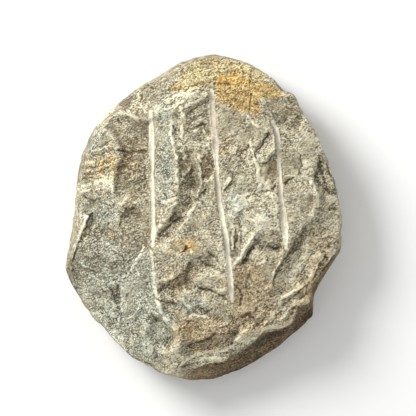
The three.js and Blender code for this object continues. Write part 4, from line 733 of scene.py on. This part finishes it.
xy = points[:, :2]
drawn = xy + wander(points, *PATCH_WANDER)
ragged_xy = xy + wander(points, *GROOVE_WANDER)
groove_gap = np.min([distance_to_path(xy, groove)[0] for groove in GROOVES], axis=0)
powder_gap = np.min([tapered_gap(ragged_xy, groove) for groove in GROOVES], axis=0)
in_groove = upward * (1 - smooth_step(GROOVE_HALF, GROOVE_HALF + GROOVE_MARGIN, groove_gap))
free = rough_depth * (1 - in_groove)

relief = np.zeros(count)
for depth, size, turn, shift, lean in CHIPS:
    relief += depth * chip_field(points, size, turn, CHIP_STRETCH, shift, lean)
pit_depth, pit_size, pit_shift = PITS
relief += pit_depth * noise_field(points, pit_size, pit_shift)
relief *= free

thickness = swing(points, *LINE_WIDTH)
line_relief, line_tone_and_light = drawn_lines(xy + wander(points, *LINE_WANDER), thickness, LINES)
line_relief = np.where(line_relief > 0, RAISED_SHARE * line_relief, line_relief)
line_relief *= np.clip(swing(points, *LINE_HEIGHT), 0, LINE_HEIGHT_MOST)
relief += line_relief * free * upward

bedding = np.zeros(count)
for weight, size, flatness, shift in BEDS:
    bedding += weight * noise_field(points, size, shift, stretch=(flatness, flatness, 1))
relief += BED_DEPTH * bedding * on_side * rough_depth

relief -= GROOVE_CUT * np.clip(1 - powder_gap ** 2, 0, 1) * upward

points += normals * relief[:, None]
slab_mesh.vertices.foreach_set("co", (points * MM).astype(np.float32).ravel())
slab_mesh.update()
for polygon in slab_mesh.polygons:
    polygon.use_smooth = True


# ---------------------------------------------------------------- tints laid on the mesh

# Crests painted paler and hollows painted darker, as painted highlight and shade: rounds of smoothing
# that they stand out from, and tone per millimetre.
CRESTS = {"fine_crest_painted_light": (6, 3.0), "broad_crest_painted_light": (70, 0.7)}
PAINTED = {
    "ochre": OCHRE, "olive": OLIVE, "brown": BROWN, "blue": BLUE_GREY, "pale": PALE, "dark": DARK,
}
RIM_ROUNDS = 60  # rounds of smoothing of the normals that the rounded rim is told from
POWDER_FADE = (0.8, 1.25)  # powdered stone ends between these half widths of a groove
FLANK_FADE = 0.4  # the flank's colour begins this far to either side of the brink
FLANK_LEFT = (-13, -2)  # and comes in over this stretch of x
FLANK_TOP = (-20, -9)  # and goes out over this stretch of y
SHADOW_START = (0.2, 0.8)  # the shadow under the brink comes in over these distances from it
SHADOW_END = (1.5, 4)  # and goes out over these
SHADOW_LEFT = (8, 18)  # it comes in over this stretch of x
SHADOW_RIGHT = (36, 44)  # and goes out over this one
TINT_MOST = 2  # no tint goes further from 0 than this


def keep_tint(name, values):
    attribute = slab_mesh.attributes.new(name, "FLOAT", "POINT")
    limited = np.clip(values, -TINT_MOST, TINT_MOST)
    attribute.data.foreach_set("value", limited.astype(np.float32))


height = points[:, 2]
for name, (rounds, gain) in CRESTS.items():
    above = height - spread(height, edges, rounds, count)
    keep_tint(name, np.clip(above * gain, -1, 1) * upward)
for name, patches in PAINTED.items():
    keep_tint(name, np.clip(soft_patches(drawn, patches), 0, 1) * upward)
# Broad patches of tone, painted shade and painted light.
keep_tint("shade", soft_patches(drawn, SHADES) * (1 - downward))
keep_tint("side", on_side)
# The lines' tone: pale veins and dark cracks, with painted highlight on crests and painted shadow under
# ledges.
keep_tint("line", np.clip(line_tone_and_light, -1, 1) * upward * (1 - in_groove))

# The rounded rim that faces the light is painted a little darker: painted shade that evens out its glare.
normals = normals_of(slab_mesh)
broad = np.column_stack([spread(normals[:, k], edges, RIM_ROUNDS, count) for k in range(3)])
broad /= np.linalg.norm(broad, axis=1)[:, None]
lit = broad @ np.array(KEY_DIRECTION)
keep_tint("lit_rim_painted_shade", np.clip((lit - KEY_DIRECTION.z) / (1 - KEY_DIRECTION.z), 0, 1))

keep_tint("powder", upward * (1 - smooth_step(*POWDER_FADE, powder_gap)))
keep_tint("dull", np.clip(soft_patches(xy, DULL_GROOVE), 0, 1))
# The steep flank's mask, for its browner colour and the painted shade laid on it.
brink_gap, brink_side = distance_to_path(drawn, BRINK)
below_brink = -brink_gap * brink_side
flank = smooth_step(-FLANK_FADE, FLANK_FADE, below_brink)
flank_reach = smooth_step(*FLANK_LEFT, drawn[:, 0]) * (1 - smooth_step(*FLANK_TOP, drawn[:, 1]))
keep_tint("flank", flank * flank_reach)
# A painted shadow darkens the steep side just under the brink.
shadow = smooth_step(*SHADOW_START, below_brink) * (1 - smooth_step(*SHADOW_END, brink_gap))
shadow *= smooth_step(*SHADOW_LEFT, drawn[:, 0])
shadow *= 1 - smooth_step(*SHADOW_RIGHT, drawn[:, 0])
keep_tint("brink_painted_shadow", shadow)


# ---------------------------------------------------------------- the slate's colours and grain

# The colours that the tone runs through, from dark to nearly white.
SLATE_TONES = [
    (0.0, (0.088, 0.068, 0.040, 1)),
    (0.25, (0.195, 0.165, 0.105, 1)),
    (0.5, (0.37, 0.33, 0.226, 1)),
    (0.75, (0.575, 0.54, 0.395, 1)),
    (1.0, (0.82, 0.78, 0.60, 1)),
]
MIDDLE_TONE = 0.488  # the stone's tone where nothing marks it
GRAIN_MEAN = 0.22  # what the parts of the grain add up to on average

# The parts of the grain. Scales are per millimetre, and angles are in degrees.
# Plain noises: scale, detail, roughness.
NOISES = {
    "mottle": (0.16, 2, 0.5), "grain": (1.5, 3, 0.75), "calm": (0.11, 2, 0.6),
    "blotch": (0.45, 5, 0.75), "hue": (0.55, 3, 0.7),
}
# Short strokes that run one way: angle, scale, detail.
STROKES = {"rising": (-40, 0.85, 3.0), "speck": (-45, 2.1, 2.0), "level": (-20, 0.7, 3.0)}
# Flakes, each with a tone of its own: angle, scale.
FLAKES = {"tiny_flakes": (-45, 3.2), "coarse_flakes": (-30, 0.62), "fine_flakes": (-15, 1.35)}
# Thin leaves, split off one above the other: angle, scale, how many.
LEAVES = {"steep_leaves": (-50, 0.2, 9.0), "level_leaves": (-15, 0.16, 8.0)}
# Thin broken lines: angle, scale, width.
THREADS = {
    "steep_threads": (-50, 0.36, 0.045), "level_threads": (-12, 0.32, 0.045),
    "fine_cracks": (-35, 0.3, 0.025),
}
# The palest and darkest of some parts: where they begin to show and where they show in full.
# The pale specks are partly pale grains and partly painted glints off crystals.
EXTREMES = {
    "pale_specks_and_glints": ("speck", 0.56, 0.72), "pale_flakes": ("fine_flakes", 0.84, 1.0),
    "dark_flakes": ("fine_flakes", 0.16, 0.0), "pale_tiny_flakes": ("tiny_flakes", 0.55, 1.0),
}

# How much each part of the grain pales (+) or darkens (-) the stone.
GRAIN_TONES = {
    "rising": 0.75, "level": 0.35, "tiny_flakes": 0.4, "steep_leaf_tone": 0.06,
    "level_leaf_tone": 0.06, "steep_threads": 0.22, "level_threads": 0.18, "fine_cracks": -0.14,
    "grain": 0.1, "speck": 2.8, "pale_specks_and_glints": 0.6, "pale_flakes": 0.12,
    "pale_tiny_flakes": 0.5, "dark_flakes": -0.10, "coarse_flakes": 0.07, "fine_flakes": 0.08,
}
# These run from 0 to 1 and count from their middle, so that they both pale and darken.
TWO_SIDED = ("rising", "level", "tiny_flakes", "grain", "speck", "coarse_flakes", "fine_flakes")
# How much the marks that lie over the grain do, painted light and shade among them.
MARK_TONES = {
    "mottle": 0.45, "layer": 2.4, "split": -0.4, "lit_rim_painted_shade": -0.13, "brink_painted_shadow": -0.25,
    "fine_crest_painted_light": 0.22, "broad_crest_painted_light": 0.16, "pale": 0.34, "dark": -0.19,
    "shade": 0.2, "pale_line_and_highlight": 0.6, "dark_line_and_shadow": -0.44,
}
PLAIN_MARKS = ("lit_rim_painted_shade", "brink_painted_shadow", "fine_crest_painted_light", "broad_crest_painted_light", "shade")  # laid on unbroken
# How high each part stands, in shares of the grain's relief.
GRAIN_HEIGHTS = {
    "grain": 0.3, "speck": 0.3, "rising": 0.15, "fine_flakes": 0.12, "steep_leaves": 0.35,
    "level_leaves": 0.35, "steep_threads": 0.45, "level_threads": 0.35, "fine_cracks": -0.6,
    "layer": 5.0, "split": -1.5,
}
GRAIN_RELIEF = 0.11  # millimetres
PACKED = 0.7  # share of the relief that powdered stone fills
ROUGHNESS = (0.78, 0.98)
SPECULAR = 0.3

# How strongly the grain shows, from where the stone is split smooth and calm to where it is rough,
# and what being pale or on the side adds to that.
CALM_RANGE = (0.36, 0.64)
LIVELINESS = (0.45, 1.45)
LIVELY_TINTS = {"pale": 0.6, "side": -0.35}

# Stains in the order they are laid: tint, the colour it multiplies by, strength, raggedness.
STAINS = [
    ("blue", (0.90, 1.0, 1.12, 1), 0.8, 1.0),
    ("brown", (0.94, 0.82, 0.70, 1), 0.8, 1.6),
    ("olive", (1.12, 1.0, 0.70, 1), 0.8, 2.4),
    ("ochre", (1.12, 0.88, 0.52, 1), 0.95, 2.4),
]
# From place to place the stone turns a little bluer or a little more yellow.
BLUER = (0.98, 1.0, 1.01, 1)
YELLOWER = (1.03, 0.995, 0.93, 1)
HUE_RANGE = (0.4, 0.6)
# The flank's colour is partly its own browner tone and partly painted shade.
FLANK_COLOUR_AND_SHADE = (0.42, 0.345, 0.27, 1)
FLANK_STRENGTH = 0.97
POWDER_COLOUR = (0.92, 0.89, 0.73, 1)
DULL_POWDER_COLOUR = (0.56, 0.48, 0.385, 1)
POWDER_PATCHINESS = 1.3
POWDER_LEAST = 0.05

GRAIN_TURN = (0.31, -0.22, 0.17)  # keeps the noises' own grid off the slab's directions
STROKE_STRETCH = (0.42, 2.0, 1.5)
FLAKE_STRETCH = (0.55, 1.25, 1.0)
FLAKE_WARP_SCALE = 1.1
FLAKE_WARP = (1.3, 1.3, 1.3)
LAYER_SCALE = (0.045 / MM, 0.045 / MM, 0.5 / MM)
SPLIT_WIDTH = 0.025
LEAF_KEY = 0.618  # gives each leaf a tone of its own
EDGE_FADE = (0.15, 0.85)  # a broken mask comes in over this much of itself
LINE_EDGE_FADE = (0.1, 0.7)
STAIN_FADE = (0.2, 0.8)
FLAKY_EDGE = 0.5  # how far the flakes break up a mask's edge
GRAINY_EDGE = 3.0  # and how far the grain does


# ---------------------------------------------------------------- shader helpers

def add_node(tree, kind, **settings):
    node = tree.nodes.new(kind)
    for name, value in settings.items():
        setattr(node, name, value)
    return node


def feed(tree, socket, value):
    """Gives a socket a plain value, or links it to another socket."""
    if isinstance(value, (int, float, tuple)):
        socket.default_value = value
    else:
        tree.links.new(value, socket)


def math_node(tree, operation, *values, clamp=False):
    node = add_node(tree, "ShaderNodeMath", operation=operation, use_clamp=clamp)
    for socket, value in zip(node.inputs, values):
        feed(tree, socket, value)
    return node.outputs[0]


def plus(tree, a, b):
    return math_node(tree, "ADD", a, b)


def times(tree, a, b):
    return math_node(tree, "MULTIPLY", a, b)


def two_sided(tree, value):
    """A value from 0 to 1, counted from its middle."""
    return math_node(tree, "SUBTRACT", value, 0.5)


def weighted_sum(tree, values, weights):
    """The named values, each times its weight, added up."""
    total = None
    for name, weight in weights.items():
        share = times(tree, values[name], weight)
        total = share if total is None else plus(tree, total, share)
    return total


def ranged(tree, value, start, end, low=0.0, high=1.0, kind="LINEAR"):
    """Goes from low to high as the value goes from start to end, and stays there beyond."""
    node = add_node(tree, "ShaderNodeMapRange", interpolation_type=kind)
    for name, limit in (("From Min", start), ("From Max", end), ("To Min", low), ("To Max", high)):
        node.inputs[name].default_value = limit
    tree.links.new(value, node.inputs["Value"])
    return node.outputs["Result"]


def mix_colour(tree, amount, under, over, blend="MIX"):
    node = add_node(tree, "ShaderNodeMix", data_type="RGBA", blend_type=blend, clamp_factor=True)
    for socket, value in ((node.inputs[0], amount), (node.inputs[6], under), (node.inputs[7], over)):
        feed(tree, socket, value)
    return node.outputs[2]


def noise_node(tree, vector, scale, detail, roughness):
    node = add_node(tree, "ShaderNodeTexNoise")
    for name, value in (("Scale", scale), ("Detail", detail), ("Roughness", roughness)):
        feed(tree, node.inputs[name], value)
    tree.links.new(vector, node.inputs["Vector"])
    return node.outputs["Factor"] if "Factor" in node.outputs else node.outputs["Fac"]


def mapped(tree, vector, scale, rotation=(0.0, 0.0, 0.0)):
    node = add_node(tree, "ShaderNodeMapping")
    node.inputs["Scale"].default_value = scale
    node.inputs["Rotation"].default_value = rotation
    tree.links.new(vector, node.inputs["Vector"])
    return node.outputs["Vector"]


def tint(tree, name):
    return add_node(
        tree, "ShaderNodeAttribute", attribute_name=name, attribute_type="GEOMETRY"
    ).outputs["Fac"]


# ---------------------------------------------------------------- the grain of the stone

def grain_group(name, inputs, output):
    """An empty group for one kind of grain: its tree, its input and output, the turned place."""
    tree = bpy.data.node_groups.new(name, "ShaderNodeTree")
    tree.interface.new_socket("Vector", in_out="INPUT", socket_type="NodeSocketVector")
    for value in inputs:
        tree.interface.new_socket(value, in_out="INPUT", socket_type="NodeSocketFloat")
    tree.interface.new_socket(output, in_out="OUTPUT", socket_type="NodeSocketFloat")
    begin = add_node(tree, "NodeGroupInput")
    end = add_node(tree, "NodeGroupOutput")
    turn = add_node(tree, "ShaderNodeVectorRotate", rotation_type="Z_AXIS")
    tree.links.new(begin.outputs["Vector"], turn.inputs["Vector"])
    tree.links.new(begin.outputs["Angle"], turn.inputs["Angle"])
    return tree, begin, end, turn.outputs["Vector"]


def strokes_group():
    """Short broken strokes of stone grain that run one way. Value 0 to 1, even around 0.5."""
    tree, begin, end, place = grain_group("stone_strokes", ("Angle", "Scale", "Detail"), "Strokes")
    place = mapped(tree, place, STROKE_STRETCH)
    value = noise_node(
        tree, place, begin.outputs["Scale"], begin.outputs["Detail"], roughness=0.65
    )
    tree.links.new(value, end.inputs["Strokes"])
    return tree


def flakes_group():
    """Small flakes of stone, each with a tone of its own, 0 to 1."""
    tree, begin, end, place = grain_group("stone_flakes", ("Angle", "Scale"), "Tone")
    warp = add_node(tree, "ShaderNodeTexNoise")
    warp.inputs["Scale"].default_value = FLAKE_WARP_SCALE
    tree.links.new(begin.outputs["Vector"], warp.inputs["Vector"])
    push = add_node(tree, "ShaderNodeVectorMath", operation="MULTIPLY_ADD")
    for socket, value in zip(push.inputs, (warp.outputs["Color"], FLAKE_WARP, place)):
        feed(tree, socket, value)
    cells = add_node(tree, "ShaderNodeTexVoronoi", feature="F1")
    tree.links.new(begin.outputs["Scale"], cells.inputs["Scale"])
    pushed = mapped(tree, push.outputs["Vector"], FLAKE_STRETCH)
    tree.links.new(pushed, cells.inputs["Vector"])
    tones = add_node(tree, "ShaderNodeSeparateColor")
    tree.links.new(cells.outputs["Color"], tones.inputs["Color"])
    tree.links.new(tones.outputs["Red"], end.inputs["Tone"])
    return tree


def stone_grain(tree, place):
    """Every part of the grain by name, as a value that changes over the stone."""
    strokes_tree = strokes_group()
    flakes_tree = flakes_group()

    def grouped(group, angle, **inputs):
        node = add_node(tree, "ShaderNodeGroup", node_tree=group)
        tree.links.new(place, node.inputs["Vector"])
        node.inputs["Angle"].default_value = math.radians(angle)
        for name, value in inputs.items():
            node.inputs[name].default_value = value
        return node.outputs[0]

    def strokes(angle, scale, detail=1.0):
        return grouped(strokes_tree, angle, Scale=scale, Detail=detail)

    def leaves(angle, scale, how_many):
        """Whole numbers, in ledges."""
        return math_node(tree, "FLOOR", times(tree, strokes(angle, scale), how_many))

    def leaf_tone(level):
        """Each leaf's own tone, about -0.5 to 0.5."""
        return two_sided(tree, math_node(tree, "FRACT", times(tree, level, LEAF_KEY)))

    def threads(angle, scale, width):
        """1 along the middle of a line, 0 beside it."""
        away = math_node(tree, "ABSOLUTE", two_sided(tree, strokes(angle, scale)))
        return ranged(tree, away, width, 0.0)

    parts = {name: noise_node(tree, place, *values) for name, values in NOISES.items()}
    parts |= {name: strokes(*values) for name, values in STROKES.items()}
    parts |= {name: leaves(*values) for name, values in LEAVES.items()}
    parts |= {name: threads(*values) for name, values in THREADS.items()}
    for name, (angle, scale) in FLAKES.items():
        parts[name] = grouped(flakes_tree, angle, Scale=scale)
    for name, (part, start, end) in EXTREMES.items():
        parts[name] = ranged(tree, parts[part], start, end)
    parts["steep_leaf_tone"] = leaf_tone(parts["steep_leaves"])
    parts["level_leaf_tone"] = leaf_tone(parts["level_leaves"])
    return parts


def side_layers(tree, place):
    """The edges of the stone's layers and the splits between them, which show down its sides."""
    side = tint(tree, "side")
    layer = noise_node(tree, mapped(tree, place, LAYER_SCALE), 1.0, detail=4, roughness=0.65)
    layer = two_sided(tree, layer)
    split = ranged(tree, math_node(tree, "ABSOLUTE", layer), SPLIT_WIDTH, 0.0)
    return {
        "layer": times(tree, layer, side),
        "split": times(tree, split, side),
    }


def broken(tree, parts, mask, fade=EDGE_FADE):
    """A soft painted mask broken up by the flakes and the grain."""
    flaky = times(tree, two_sided(tree, parts["fine_flakes"]), FLAKY_EDGE)
    grainy = times(tree, two_sided(tree, parts["rising"]), GRAINY_EDGE)
    rough = plus(tree, mask, plus(tree, flaky, grainy))
    return ranged(tree, rough, *fade, kind="SMOOTHSTEP")


def stone_tone(tree, parts):
    """How pale the stone is at a point: 0 dark, 1 nearly white."""
    centred = {name: two_sided(tree, parts[name]) for name in TWO_SIDED}
    grain = weighted_sum(tree, parts | centred, GRAIN_TONES)
    lively = ranged(tree, parts["calm"], *CALM_RANGE, *LIVELINESS)
    for name, weight in LIVELY_TINTS.items():
        lively = plus(tree, lively, times(tree, tint(tree, name), weight))
    grain = times(tree, plus(tree, grain, -GRAIN_MEAN), lively)

    line = tint(tree, "line")
    marks = {name: tint(tree, name) for name in PLAIN_MARKS}
    marks |= {name: broken(tree, parts, tint(tree, name)) for name in ("pale", "dark")}
    # Pale and dark lines: the stone's veins and cracks, with painted highlight and painted shadow.
    marks["pale_line_and_highlight"] = broken(tree, parts, line, LINE_EDGE_FADE)
    marks["dark_line_and_shadow"] = broken(tree, parts, times(tree, line, -1.0), LINE_EDGE_FADE)
    marks["mottle"] = two_sided(tree, parts["mottle"])
    marked = weighted_sum(tree, parts | marks, MARK_TONES)
    return plus(tree, plus(tree, grain, MIDDLE_TONE), marked)


def tone_colour(tree, tone):
    ramp = add_node(tree, "ShaderNodeValToRGB")
    tree.links.new(tone, ramp.inputs["Fac"])
    stops = ramp.color_ramp.elements
    stops.remove(stops[1])
    darkest, *others = SLATE_TONES
    stops[0].position, stops[0].color = darkest
    for position, colour in others:
        stops.new(position).color = colour
    return ramp.outputs["Color"]


def stone_colour(tree, parts):
    """The stone's colour with its stains, its flank, darker from its browner colour and painted shade,
    and the powdered stone in its grooves.
    """
    colour = tone_colour(tree, stone_tone(tree, parts))
    hue = mix_colour(tree, ranged(tree, parts["hue"], *HUE_RANGE), BLUER, YELLOWER)
    colour = mix_colour(tree, 1.0, colour, hue, "MULTIPLY")
    for name, stain, strength, raggedness in STAINS:
        ragged = times(tree, two_sided(tree, parts["blotch"]), raggedness)
        ragged = plus(tree, tint(tree, name), ragged)
        amount = times(tree, ranged(tree, ragged, *STAIN_FADE, kind="SMOOTHSTEP"), strength)
        colour = mix_colour(tree, amount, colour, stain, "MULTIPLY")
    # The steep flank away from the light is darkened: its browner colour and painted shade.
    flank = times(tree, broken(tree, parts, tint(tree, "flank")), FLANK_STRENGTH)
    colour = mix_colour(tree, flank, colour, FLANK_COLOUR_AND_SHADE, "MULTIPLY")
    patchy = math_node(tree, "MULTIPLY_ADD", parts["blotch"], POWDER_PATCHINESS, POWDER_LEAST)
    powder = math_node(tree, "MULTIPLY", tint(tree, "powder"), patchy, clamp=True)
    powder_colour = mix_colour(tree, tint(tree, "dull"), POWDER_COLOUR, DULL_POWDER_COLOUR)
    return mix_colour(tree, powder, colour, powder_colour)


def grain_bump(tree, parts):
    """The relief of the grain, which the powdered stone fills in part."""
    bump = add_node(tree, "ShaderNodeBump")
    packed = times(tree, tint(tree, "powder"), -PACKED)
    tree.links.new(plus(tree, packed, 1.0), bump.inputs["Strength"])
    bump.inputs["Filter Width"].default_value = 1.0
    bump.inputs["Distance"].default_value = GRAIN_RELIEF * MM
    tree.links.new(weighted_sum(tree, parts, GRAIN_HEIGHTS), bump.inputs["Height"])
    return bump.outputs["Normal"]


def slate_material():
    material = bpy.data.materials.new("slate")
    material.use_nodes = True
    tree = material.node_tree
    shader = tree.nodes["Principled BSDF"]
    place = add_node(tree, "ShaderNodeTexCoord").outputs["Object"]
    parts = stone_grain(tree, mapped(tree, place, (1 / MM, 1 / MM, 1 / MM), GRAIN_TURN))
    parts.update(side_layers(tree, place))
    roughness = ranged(tree, parts["grain"], 0.0, 1.0, *ROUGHNESS)
    tree.links.new(stone_colour(tree, parts), shader.inputs["Base Color"])
    tree.links.new(roughness, shader.inputs["Roughness"])
    tree.links.new(grain_bump(tree, parts), shader.inputs["Normal"])
    shader.inputs["Specular IOR Level"].default_value = SPECULAR
    return material


slab_mesh.materials.append(slate_material())

slab = bpy.data.objects.new("split_slate_slab", slab_mesh)
bpy.context.scene.collection.objects.link(slab)
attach(slab, "root")
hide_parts("grooved_stone")


# ---------------------------------------------------------------- floor, light and camera

def add_object(name, data):
    thing = bpy.data.objects.new(name, data)
    bpy.context.scene.collection.objects.link(thing)
    return thing


def add_floor():
    bm = bmesh.new()
    bmesh.ops.create_grid(bm, x_segments=1, y_segments=1, size=FLOOR_SIZE * MM)
    mesh = bpy.data.meshes.new("floor")
    bm.to_mesh(mesh)
    bm.free()
    floor = add_object("floor", mesh)
    pale = bpy.data.materials.new("pale_floor")
    pale.use_nodes = True
    pale_shader = pale.node_tree.nodes["Principled BSDF"]
    pale_shader.inputs["Base Color"].default_value = FLOOR_COLOUR
    pale_shader.inputs["Roughness"].default_value = FLOOR_ROUGHNESS
    mesh.materials.append(pale)


def add_key_light():
    data = bpy.data.lights.new("key_light", "AREA")
    data.shape = "DISK"
    data.size = KEY_SIZE * MM
    data.energy = KEY_POWER
    light = add_object("key_light", data)
    light.location = KEY_DIRECTION * KEY_DISTANCE * MM
    light.rotation_euler = KEY_DIRECTION.to_track_quat("Z", "Y").to_euler()


def add_camera():
    data = bpy.data.cameras.new("overhead")
    data.lens = LENS
    data.sensor_width = SENSOR
    camera = add_object("overhead", data)
    distance = FRAME_WIDTH * LENS / SENSOR
    camera.location = Vector((*VIEW_MIDDLE, FRAME_HEIGHT + distance)) * MM
    bpy.context.scene.camera = camera


def set_fill():
    world = bpy.data.worlds.new("studio")
    world.use_nodes = True
    background = world.node_tree.nodes["Background"]
    background.inputs["Color"].default_value = FILL_COLOUR
    background.inputs["Strength"].default_value = FILL_STRENGTH
    bpy.context.scene.world = world


add_floor()
add_key_light()
add_camera()
set_fill()
bpy.context.scene.view_settings.view_transform = "Standard"
